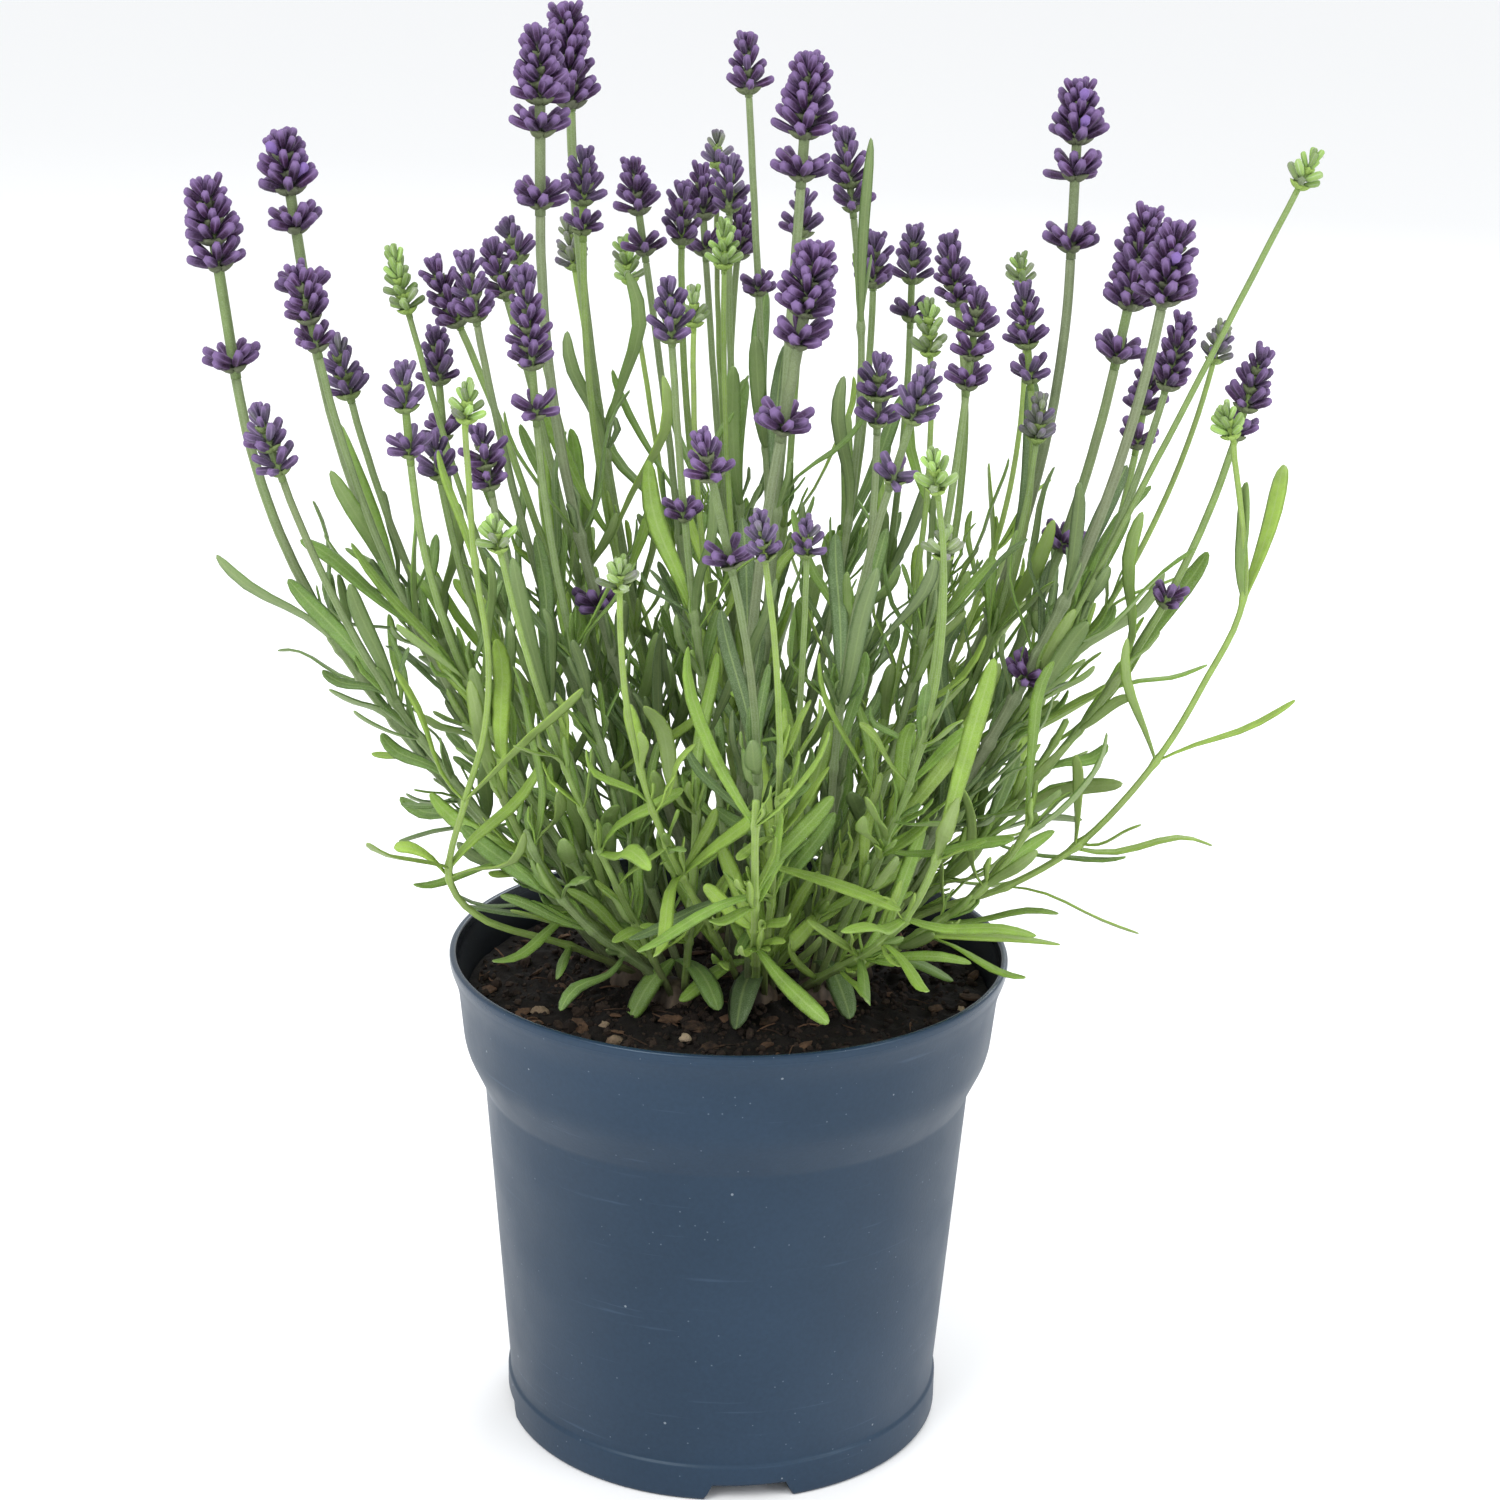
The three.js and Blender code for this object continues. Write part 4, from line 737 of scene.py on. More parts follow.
# Crumbs of three kinds: size, number and seed.
CRUMBS = ((0.6, 1500, 1), (1.0, 700, 2), (1.7, 120, 3))
CHIPS, FIBRES, FIBRE_REACH = 90, 130, 0.96
STONES = np.array([(-46, -22), (-43, -35), (-27, -38), (-10, -40), (54, -27), (58, -14), (-30, -30)])
STONE_SIZES = np.array([2.2, 2.0, 2.6, 1.8, 2.3, 1.9, 1.5])
LUMP_SLOPES = np.radians([-55, -15, 25, 62])


def peat_height(x, y):
    """The bed's height: a low crown, and soft lumps of four sizes that grow less close to the wall."""
    spot = np.stack([x, y], axis=-1)
    away = np.hypot(x, y) / PEAT_RADIUS
    lumps = 1.0 * smooth_noise(spot, 17, 3) + 0.9 * smooth_noise(spot, 7, 4)
    lumps = lumps + 0.55 * np.abs(smooth_noise(spot, 3.1, 5)) + 0.22 * smooth_noise(spot, 1.5, 6)
    return PEAT_EDGE + PEAT_CROWN * (1 - away**2) + lumps * np.clip((1 - away) * 12, 0.25, 1)


def scattered(count, rng, most=0.97):
    """Spots on the bed, spread evenly over it up to a share of its radius."""
    spread = PEAT_RADIUS * most * np.sqrt(rng.random(count))
    flat = spread[:, None] * circle(rng.uniform(0, 2 * math.pi, count))
    return np.column_stack([flat, peat_height(*flat.T)])


def lumps(spots, size, flatness, sides, seed):
    """Irregular lumps: rings of a ball, pushed in and out by noise, flattened and tipped."""
    noise = np.random.default_rng(seed)
    ring = np.concatenate([np.cos(LUMP_SLOPES)[:, None, None] * circle(turns(sides)),
                           np.repeat(np.sin(LUMP_SLOPES), sides).reshape(-1, sides, 1)], axis=-1)
    count = len(spots)
    shape = ring[None] * noise.uniform(0.72, 1.2, (count, len(ring), sides, 1))
    poles = np.array([-UP, UP])[None] * noise.uniform(0.8, 1.1, (count, 2, 1))
    scale = size[:, None] * np.stack([np.ones(count), noise.uniform(0.5, 1, count), flatness], axis=-1)
    angle = noise.uniform(0, 2 * math.pi, count)
    tip = noise.normal(0, 0.25, (count, 2))
    first = unit(np.column_stack([circle(angle), tip[:, 0]]))
    second = unit(np.cross(unit(np.stack([tip[:, 1], tip[:, 0], np.ones(count)], axis=-1)), first))
    axes = np.stack([first, second, np.cross(first, second)], axis=1) * scale[..., None]
    body = np.einsum("pkjc,pcd->pkjd", shape, axes)
    ends = np.einsum("pec,pcd->ped", poles, axes)
    lift = spots + UP * (size * flatness * 0.35)[:, None]
    return lofts(body + lift[:, None, None], ends[:, 0] + lift, ends[:, 1] + lift)


def toned(heap, shape, tones):
    """Adds shapes of equally many points to a heap, each with its own tone."""
    heap.add(*shape, tone=np.repeat(tones, len(shape[0]) // len(tones)))


def fibres_on_peat(rng):
    """Thin fibres that lie and rise on the bed, bent in the middle and kept inside the pot's wall."""
    def kept_in(spots):
        spots[:, :2] *= np.minimum(1, FIBRE_REACH * PEAT_RADIUS / np.hypot(*spots.T[:2]))[:, None]
        return spots

    fibres = scattered(FIBRES, rng)
    turn, length = rng.uniform(0, 2 * math.pi, FIBRES), rng.uniform(3, 9, FIBRES)
    way = np.column_stack([circle(turn), rng.uniform(-0.1, 0.25, FIBRES)]) * length[:, None]
    way = kept_in(fibres + way) - fibres
    bend = kept_in(fibres + way * 0.5 + rng.normal(0, 1, (FIBRES, 3)) + UP)
    square = np.array([(1, 0), (0, 0.5), (-1, 0), (0, -0.5)])
    return blades((fibres, bend, fibres + way), unit(np.cross(UP, way)), rng.uniform(0.25, 0.55, FIBRES),
                  (0.05, 0.35, 0.65, 0.95), (0.8, 1, 0.9, 0.5), square)


def make_peat(bed_paint, crumb_paint, chip_paint, stone_paint):
    """The bed: its top in rings that crowd towards the rim, and a wall down to the pot's floor. Crumbs, bark,
    fibres and stones lie on it."""
    rng = np.random.default_rng(PEAT_SEED)
    away = PEAT_RADIUS * (1 - np.linspace(0, 1, PEAT_RINGS + 1)[:-1] ** PEAT_CROWDING)
    spots = away[:, None, None] * circle(turns(PEAT_SIDES))
    top = np.concatenate([spots, peat_height(*np.moveaxis(spots, -1, 0))[..., None]], axis=-1)
    floor = FLOOR_UNDERSIDE + FLOOR_THICKNESS + PEAT_GAP
    side = [(FOOT_LINE_RADIUS - WALL - PEAT_GAP, floor), (BODY_TOP_RADIUS - WALL - PEAT_GAP, BODY_TOP)]
    wall = [np.column_stack([r * circle(turns(PEAT_SIDES)), np.full(PEAT_SIDES, z)]) for r, z in side]
    crown = peat_height(np.zeros(1), np.zeros(1))[0]
    heap = Heap([])
    heap.add(*lofts(np.vstack([wall, top])[None], floor * UP[None], crown * UP[None]))
    heap.piece("peat_bed", bed_paint, "peat", "peat")
    crumbs, chips, stones = Heap(["tone"]), Heap(["tone"]), Heap(["tone"])
    for size, count, seed in CRUMBS:
        spots = scattered(count, rng)
        made = lumps(spots, size * rng.uniform(0.7, 1.3, count), rng.uniform(0.5, 0.9, count), 6, seed)
        toned(crumbs, made, rng.random(count))
    crumbs.piece("peat_crumbs", crumb_paint, "peat", None, smooth=False)
    spots = scattered(CHIPS, rng)
    made = lumps(spots, rng.uniform(1.6, 3.6, CHIPS), rng.uniform(0.18, 0.3, CHIPS), 7, 4)
    toned(chips, made, rng.random(CHIPS))
    made = fibres_on_peat(rng)
    toned(chips, made, rng.random(FIBRES) ** 2)
    chips.piece("bark_and_fibres", chip_paint, "peat", None, smooth=False)
    spots = np.column_stack([STONES, peat_height(*STONES.T)])
    toned(stones, lumps(spots, STONE_SIZES, np.full(len(STONES), 0.6), 9, 5), rng.random(len(STONES)))
    stones.piece("small_stones", stone_paint, "peat", None)


# The plant's own pieces.

# Heads of three sizes: how ripe they are, then the pitch of their whorls, the stem's radius inside them, a
# bud's length and thickness, the buds in a whorl, and the tilt of the topmost ones.
RIPENESS = {"A": (0.9, 1.0), "B": (0.68, 0.95), "C": (0.45, 0.7)}
SPIKES = {
    "A": {"pitch": 3.9, "core": 2.0, "bud": 6.7, "thick": 2.35, "around": 12, "top_tilt": 48},
    "B": {"pitch": 4.3, "core": 1.25, "bud": 5.6, "thick": 2.05, "around": 8, "top_tilt": 34},
    "C": {"pitch": 3.5, "core": 0.9, "bud": 4.6, "thick": 1.75, "around": 7, "top_tilt": 30},
}
GREEN_RIPENESS = (0.02, 0.25)
# The tilt of the lowest buds; how much steeper and, as a share of the pitch, higher a whorl's upper row
# stands; how far below a whorl its bracts start; and the number of buds in the tuft.
BUD_TILT_LOW, ROW_TILT, ROW_RISE, BRACT_DROP, TUFT = 64, 13, 0.34, 1.3, 3
YOUTH = {"A": 0.15, "B": 0.45, "C": 0.8, "leafy": 0.7}
YOUTH_SPREAD, ARCH_YOUTH, HANGING_YOUTH = 0.28, 0.95, 0.35
LEAF_SLIMNESS = 0.84
LEAF_ALONG = np.array([0.0, 0.05, 0.15, 0.3, 0.45, 0.6, 0.74, 0.86, 0.94, 0.985])
LEAF_WIDE = np.array([0.4, 0.43, 0.58, 0.77, 0.93, 1.03, 1.04, 0.93, 0.71, 0.36])
LEAF_SECTION = np.array([(1, -0.26), (0.58, 0.12), (0, -0.1), (-0.58, 0.12), (-1, -0.26), (-0.6, -0.3),
                         (0, -0.5), (0.6, -0.3)])
FEW_RINGS, FEW_CORNERS = [0, 2, 4, 6, 8, 9], [0, 1, 2, 3, 4, 6]
LEAF_FORM = LEAF_ALONG, LEAF_WIDE, LEAF_SECTION
SMALL_LEAF_FORM = LEAF_ALONG[FEW_RINGS], LEAF_WIDE[FEW_RINGS], LEAF_SECTION[FEW_CORNERS]
UNDERSIDE = -0.28
# Ranges of a leaf's twist, and of its sway, drift and curl as shares of its length.
LEAF_TWIST, LEAF_SWAY, LEAF_DRIFT, LEAF_CURL = (-0.9, 0.9), (-0.055, 0.055), (-0.05, 0.05), (-0.07, 0.12)
STEM_SIDES, RING_GAP, NODE_SWELL, NODE_LENGTH = 16, 4.2, 0.38, 1.5
NODE_RINGS = np.array([-2.2, -1, 0, 1, 2.2])
WOODY_HEIGHTS = np.array([-12, -3, 0, 3, 5.5, 7.6, 8.6])
WOODY_RADII = FOOT_THICK * np.array([0.9, 1.0, 1.05, 0.98, 0.9, 0.72, 0.4])
WOODY_SIDES, WOODY_ENDS = 24, (101.0, 122.2)


def youth_of(stem, rng):
    """How yellow-green a stem and its leaves are: young stems more than those of ripe heads."""
    drawn = float(np.clip(YOUTH[stem["size"]] + rng.uniform(-YOUTH_SPREAD, YOUTH_SPREAD), 0, 1))
    return ARCH_YOUTH if stem["name"].startswith("arch") else drawn


def woody_foot(heap, clump):
    """The knotty woody foot that a clump's stems rise from; youth -1 stands for bark."""
    around = circle(turns(WOODY_SIDES))
    x, y = CLUMPS[clump][:2]
    shape = (len(WOODY_HEIGHTS), WOODY_SIDES)
    high = np.broadcast_to(WOODY_HEIGHTS[:, None, None], (*shape, 1))
    spots = np.concatenate([np.broadcast_to(around * 6, (*shape, 2)) + [x, y], high], axis=-1)
    radius = WOODY_RADII[:, None] * (1 + 0.13 * smooth_noise(spots, 5, 22))
    rings = np.concatenate([radius[..., None] * around + [x, y], high + PEAT_EDGE], axis=-1)
    ends = np.array([[x, y, end] for end in WOODY_ENDS])
    heap.add(*lofts(rings[None], ends[:1], ends[1:]), youth=-1.0, height=0.0, around=0.5)


def make_stems(clump, stems, nodes_of, paint):
    """Square stems with a groove down each side: the radius is r * (1 + 0.13 cos 4a - 0.05 cos 8a) at the
    angle a, and swells at each pair of leaves. Each clump's stems rise from its woody foot."""
    heap = Heap(["youth", "height", "around"])
    angles = turns(STEM_SIDES)
    section = 1 + 0.13 * np.cos(4 * angles) - 0.05 * np.cos(8 * angles)
    for stem in stems:
        curve, nodes = stem["curve"], nodes_of[stem["name"]]
        even = np.linspace(0, 1, max(6, round(curve.length / RING_GAP)))
        near = [np.clip(node + NODE_RINGS / curve.length, 0, 1) for node in nodes]
        shares = np.unique(np.round(np.concatenate([even, *near]), 4))
        centre, way = curve.at(shares), curve.along(shares)
        first, second = across_line(way, np.array([0.7, 0.7, 0.1]))
        radius = stem["radius"] * (1.22 - 0.22 * shares)
        for node in nodes:
            away = (shares - node) * curve.length / NODE_LENGTH
            radius = radius * (1 + NODE_SWELL * np.exp(-(away**2)))
        wave = 0.12 * smooth_noise(centre, 9, 21)
        square = (radius[:, None] * section)[..., None] * spun(first[:, None], second[:, None], angles)
        rings = (centre + wave[:, None] * first)[:, None] + square
        heap.add(*lofts(rings[None], centre[:1] - way[:1] * 0.5, centre[-1:] + way[-1:] * 0.8),
                 youth=stem["youth"], height=with_poles(np.repeat(shares, STEM_SIDES), high=1),
                 around=with_poles(np.tile(np.abs(np.sin(2 * angles)), len(shares))))
    woody_foot(heap, clump)
    return heap.piece(f"stems_{clump}", paint, "leaf", f"clump_{clump}")


# Extra leaves: the gap between pairs, how high they go on stems with heads and on leafy ones, and the room
# they take and need. Then the share of forks without small leaves.
EXTRA_GAP, EXTRA_TOP, EXTRA_TOP_LEAFY, EXTRA_BALL, EXTRA_ROOM = 13, 215, 300, 1.0, -0.6
FORKS_BARE = 0.35


def extra_leaves(stems, rng):
    """Leaves that thicken the mass the solids give: pairs at even steps up every stem, each turned a quarter
    from the pair below. Those with no room are left out."""
    made = []
    for stem in stems.values():
        curve, name = stem["curve"], stem["name"]
        if name.startswith("arch"):
            continue
        shares = np.arange(0.1, 0.66, EXTRA_GAP / curve.length)
        shares = shares[curve.at(shares)[:, 2] < (EXTRA_TOP_LEAFY if stem["size"] == "leafy" else EXTRA_TOP)]
        turn = rng.uniform(0, math.pi)
        for share in shares:
            root, way = curve.at(share), curve.along(share)
            first, second = across_line(way, UP * 0.2 + [1, 0, 0])
            turn += math.pi / 2
            for half in (0, math.pi):
                angle = turn + half + rng.uniform(-0.3, 0.3)
                out = first * math.cos(angle) + second * math.sin(angle)
                spread = rng.uniform(0.35, 0.9)
                length = rng.uniform(15, 31) * (1.1 - 0.3 * share)
                start = way * math.cos(spread) + out * math.sin(spread)
                end = root + start * length * 0.55 + unit(start + UP * rng.uniform(-0.2, 0.5)) * length * 0.45
                leaf = leaf_at(stem, share, start * length * 0.5, end, rng.uniform(2.6, 4.2),
                               np.cross(way, start), EXTRA_BALL, 0.15)
                balls = leaf["balls"]
                inside = np.abs(balls[:, 1]).max() < LEAF_DEPTH and balls[:, 2].min() > LEAF_FLOOR - 6
                if inside and room(balls, stem["clump"], name) > EXTRA_ROOM:
                    place(balls, stem["clump"], name)
                    made.append(leaf)
    return made


def fork_leaves(leaves, stems, rng):
    """Small leaves in the forks of most larger ones, two to a leaf, close to the stem."""
    made = []
    for leaf in leaves:
        if leaf["stem"] == "hanging" or leaf["stem"].startswith("arch") or rng.random() < FORKS_BARE:
            continue
        root, middle, _ = leaf["points"]
        way = stems[leaf["stem"]]["curve"].along(leaf["share"])
        for _ in range(2):
            length = rng.uniform(8, 17)
            start = unit(unit(middle - root) * rng.uniform(0.3, 0.9) + way * 0.9 + rng.normal(0, 0.28, 3))
            tip = root + start * length + UP * rng.uniform(0, 2)
            bend = root + start * length * 0.5 + rng.normal(0, 0.8, 3)
            made.append({"clump": leaf["clump"], "stem": leaf["stem"], "share": leaf["share"],
                         "points": (root, bend, tip), "width": rng.uniform(1.5, 2.5),
                         "side": unit(np.cross(way, start))})
    return made


def make_leaves(clump, leaves, small, stems, paint, rng):
    """The leaves of a clump: a groove down the middle, rolled edges, a blunt tip and a slight twist."""
    heap = Heap(["youth", "tone", "along", "across", "under"])
    for group, (along, wide, section) in ((leaves, LEAF_FORM), (small, SMALL_LEAF_FORM)):
        if not group:
            continue
        points = [np.array([leaf["points"][k] for leaf in group]) for k in range(3)]
        side, width = (np.array([leaf[key] for leaf in group]) for key in ("side", "width"))
        count = len(group)
        long = np.linalg.norm(points[2] - points[0], axis=1)
        twist = rng.uniform(*LEAF_TWIST, count)
        moved = [long * rng.uniform(*reach, count) for reach in (LEAF_SWAY, LEAF_DRIFT, LEAF_CURL)]
        shaped = blades(points, side, width * LEAF_SLIMNESS, along, wide, section, twist, *moved)
        youth = [stems[leaf["stem"]]["youth"] if leaf["stem"] in stems else HANGING_YOUTH for leaf in group]
        youth = np.clip(youth + rng.normal(0, 0.2, count), 0, 1)
        size = len(shaped[0]) // count
        around, low = np.tile(section[:, 0], len(along)), np.tile(section[:, 1] < UNDERSIDE, len(along))
        heap.add(*shaped, youth=np.repeat(youth, size), tone=np.repeat(rng.random(count), size),
                 along=np.tile(with_poles(np.repeat(along, len(section)), high=1), count),
                 across=np.tile(with_poles(around), count), under=np.tile(with_poles(low), count))
    return heap.piece(f"leaves_{clump}", paint, "leaf", f"clump_{clump}")


BUD_ALONG = np.array([0.0, 0.16, 0.42, 0.7, 0.9, 0.97])
BUD_WIDE = np.array([0.42, 0.7, 0.92, 1.02, 0.9, 0.58])
BUD_SIDES, BUD_BEND = 10, 0.09
HAIRS_PER_BUD, HAIR_THICK, HAIR_CORNERS = 8, 0.035, (0, 2.1, 4.2)
HAIR_FACES = np.array([(0, 2, 1), (0, 1, 3), (1, 2, 3), (2, 0, 3)])
BRACT_ALONG, BRACT_WIDE = np.array([0.0, 0.25, 0.5, 0.78]), (0.6, 1.0, 0.88, 0.4)
BRACT_SECTION = np.array([(1, 0.75), (0.5, 0.2), (0, 0.06), (-0.5, 0.2), (-1, 0.75), (-0.5, -0.08),
                          (0, -0.3), (0.5, -0.08)])


# What a part of a head is, as the mark "kind" gives it to the paint.
BUD, HAIR, STALK, BRACT, FLOWER = 0.0, 1.0, 2.0, 3.0, 4.0


def make_buds(heap, roots, way, out, length, thick, ripe, tone, rng):
    """Buds: tubes of five woolly ribs, widest past the middle and rounded at the tip. At the share t of its
    length a bud is thick * BUD_WIDE wide, and raised by BUD_BEND * t^2 of its length. Fine hairs, each a
    slim three-sided spike, stand out from it."""
    count = len(roots)
    side = np.cross(way, out)
    up = np.cross(way, side)
    ribs = np.where(np.arange(BUD_SIDES) % 2, 0.87, 1.08)
    along = BUD_ALONG[None, :, None] * length[:, None, None]
    bend = (BUD_ALONG**2)[None, :, None] * BUD_BEND * length[:, None, None]
    spine = roots[:, None] + along * way[:, None] + bend * UP
    radius = 0.5 * thick[:, None, None] * BUD_WIDE[None, :, None] * ribs[None, None]
    ring = radius[..., None] * spun(side[:, None, None], up[:, None, None], turns(BUD_SIDES))
    tips = roots + way * length[:, None] + UP * BUD_BEND * length[:, None]
    share = with_poles(np.repeat(BUD_ALONG, BUD_SIDES), high=1)
    rib = with_poles(np.tile(np.arange(BUD_SIDES) % 2 == 0, len(BUD_ALONG)), 0.5, 0.5)
    size = len(share)
    heap.add(*lofts(spine[:, :, None] + ring, roots, tips), along=np.tile(share, count),
             rib=np.tile(rib, count), ripe=np.repeat(ripe, size), tone=np.repeat(tone, size), kind=BUD)
    hairs = np.repeat(np.arange(count), HAIRS_PER_BUD)
    total = len(hairs)
    way, length = way[hairs], length[hairs]
    spot, turn = rng.uniform(0.12, 0.95, total), rng.uniform(0, 2 * math.pi, total)
    outward = spun(side[hairs], up[hairs], turn)
    foot = (roots[hairs] + way * (spot * length)[:, None] + UP * (BUD_BEND * spot**2 * length)[:, None]
            + outward * (0.48 * thick[hairs] * np.interp(spot, BUD_ALONG, BUD_WIDE))[:, None])
    lean = unit(outward + way * rng.uniform(0, 0.9, total)[:, None] + rng.normal(0, 0.25, (total, 3)))
    tip = foot + lean * rng.uniform(0.25, 0.55, total)[:, None]
    first, second = across_line(lean, way)
    corners = [foot + HAIR_THICK * (math.cos(a) * first + math.sin(a) * second) for a in HAIR_CORNERS]
    points = np.stack([*corners, tip], axis=1).reshape(-1, 3)
    tris = (HAIR_FACES[None] + (np.arange(total) * 4)[:, None, None]).reshape(-1, 3)
    heap.add(points, np.empty((0, 4), int), tris, along=0.5, rib=1.0,
             ripe=np.repeat(ripe[hairs], 4), tone=np.repeat(tone[hairs], 4), kind=HAIR)


def stem_side(axis, way):
    """The direction square to each bud that lies nearest to the head's axis."""
    return unit(axis - way * np.sum(way * axis, axis=1, keepdims=True))


def ways_round(axis):
    """Two directions square to a head's axis, from which its whorls are turned."""
    return across_line(axis, np.array([0.3, -1, 0.2]))


def whorls_of(head):
    """Whorls of a head: place along its axis, the stem's radius there, tilt, size, and share up the head.
    The separate whorls below it come first, with share -1."""
    spike = SPIKES[head["size"]]
    rows = [(-whorl + 1.1, STEM_RADIUS[head["size"]], BUD_TILT_LOW, 1.0, -1) for whorl in head["whorls"]]
    count = max(2, round((head["length"] - spike["bud"] * 0.45) / spike["pitch"]))
    step = (head["length"] - spike["bud"] * 0.55) / count
    for k in range(count):
        share = k / (count - 1)
        tilt = BUD_TILT_LOW + (spike["top_tilt"] - BUD_TILT_LOW) * share
        rows.append((step * (k + 0.35), spike["core"] * (1 - 0.35 * share), tilt, 1 - 0.2 * share, share))
    return rows


def grow_whorl(heap, head, row, turn, ripe, rng):
    """A whorl: a lower and an upper row of buds, and bracts under them."""
    at, core, tilt, scale, share = row
    axis, spike = head["direction"], SPIKES[head["size"]]
    first, second = ways_round(axis)
    count = spike["around"] - (2 if share > 0.9 else 0)
    j = np.arange(count)
    azimuth = turn + 2 * math.pi * (j + 0.5) / count + rng.normal(0, 0.09, count)
    raised = j % 2
    out = spun(first, second, azimuth)
    slope = np.radians(tilt - ROW_TILT * raised + (6 if share < 0 else 3) + rng.normal(0, 7, count))
    way = spun(axis, out, slope)
    height = at + raised * ROW_RISE * spike["pitch"] + rng.normal(0, 0.2, count)
    roots = head["base"] + height[:, None] * axis + out * core * 0.55
    length = spike["bud"] * scale * rng.uniform(0.84, 1.12, count)
    thick = spike["thick"] * (1 - 0.18 * max(share, 0)) * rng.uniform(0.9, 1.1, count)
    aged = np.clip(ripe + rng.normal(0, 0.07, count) - 0.12 * max(share, 0) * (ripe < 0.9), 0, 1)
    make_buds(heap, roots, way, stem_side(axis, way), length, thick, aged, rng.random(count), rng)
    pairs = 3 if share < 0 else 5
    fan = spun(first, second, turn + (np.arange(pairs) + 0.5) * 2 * math.pi / pairs)
    foot = head["base"] + axis * (at - BRACT_DROP) + fan * core * 0.5
    low = math.radians(tilt + 3)
    away = math.cos(low) * axis + math.sin(low) * fan
    long = spike["bud"] * scale * 0.55
    tip = foot + away * long + axis * long * 0.12
    shaped = blades((foot, foot + away * long * 0.5 - axis * 0.25, tip), unit(np.cross(axis, fan)),
                    np.full(pairs, spike["thick"] * 1.7), BRACT_ALONG, BRACT_WIDE, BRACT_SECTION)
    along = with_poles(np.repeat(BRACT_ALONG, len(BRACT_SECTION)), high=1)
    heap.add(*shaped, along=np.tile(along, pairs), rib=0.5, ripe=ripe, tone=rng.random(), kind=BRACT)


def grow_head(heap, head, youth, rng):
    """Whorls of buds up the head, a tuft of small ones at its tip, and the stem through it."""
    size, axis, spike = head["size"], head["direction"], SPIKES[head["size"]]
    first, second = ways_round(axis)
    ripe = rng.uniform(*(RIPENESS[size] if not head["green"] else GREEN_RIPENESS))
    start = head["foot"] + axis * (0.2 if not head["green"] else -0.5)
    reach = np.linalg.norm(head["base"] - start) + head["length"] - 0.55 * spike["bud"]
    shares = np.linspace(0, 1, 9)
    angles = turns(12)
    below = np.linalg.norm(head["base"] - start) / reach
    radius = np.where(shares < below, STEM_RADIUS[size], 0.75 * spike["core"] * (1.15 - 0.5 * shares))
    ring = spun(first, second, angles)
    square = 1 + 0.12 * np.cos(4 * angles)
    rings = start + (shares * reach)[:, None, None] * axis + radius[:, None, None] * square[:, None] * ring
    heap.add(*lofts(rings[None], start[None], (start + axis * reach)[None]), along=0.0, rib=0.5,
             ripe=youth, tone=0.5, kind=STALK)
    turn = rng.uniform(0, math.pi)
    for row in whorls_of(head):
        turn += math.pi / 2
        grow_whorl(heap, head, row, turn, ripe, rng)
    crown = head["base"] + axis * (head["length"] - spike["bud"] * 0.78)
    out = spun(first, second, turn + turns(TUFT))
    way = unit(axis + out * 0.22)
    make_buds(heap, crown + out * 0.35, way, stem_side(axis, way), np.full(TUFT, spike["bud"] * 0.74),
              np.full(TUFT, spike["thick"] * 0.72), np.full(TUFT, ripe * 0.85), rng.random(TUFT), rng)


# Flowers about to open, on the heads that show them: how far up the head, and its turn about it.
SHOWING = {"02": [(0.5, 0.9), (0.12, 2.2)], "53": [(0.5, 1.4), (0.1, 1.5)],
           "54": [(0.3, 1.9)], "55": [(0.42, 1.3)]}
DROP_ALONG = np.array([0, 1.2, 2.4, 3.5, 4.3, 4.7])
DROP_WIDE = np.array([0.5, 0.6, 0.95, 1.2, 0.98, 0.5])
DROP_SIDES = 15


def showing_flower(heap, head, share, angle):
    """A flower about to open: its folded petals stand out of a bud as a pale drop with five soft ribs."""
    axis = head["direction"]
    first, second = ways_round(axis)
    out = math.sin(angle) * first - math.cos(angle) * second
    way = unit(out + axis * 0.75)
    at = head["base"] + axis * share * head["length"] + way * SPIKES[head["size"]]["bud"] * 0.55
    angles = turns(DROP_SIDES)
    ring = spun(*across_line(way, axis), angles) * (1 + 0.09 * np.cos(5 * angles))[:, None]
    drop = at + DROP_ALONG[:, None, None] * way + DROP_WIDE[:, None, None] * ring
    along = with_poles(np.repeat(DROP_ALONG / DROP_ALONG[-1], DROP_SIDES), high=1)
    heap.add(*lofts(drop[None], at[None], (at + way * (DROP_ALONG[-1] + 0.15))[None]), along=along, rib=0.5,
             ripe=1.0, tone=0.6, kind=FLOWER)


# By how much the leaves over the peat are longer, and by what factor wider, than their solids.
HANGING_LONGER, HANGING_WIDER = 4, 1.45
PLANT_SEED = 77


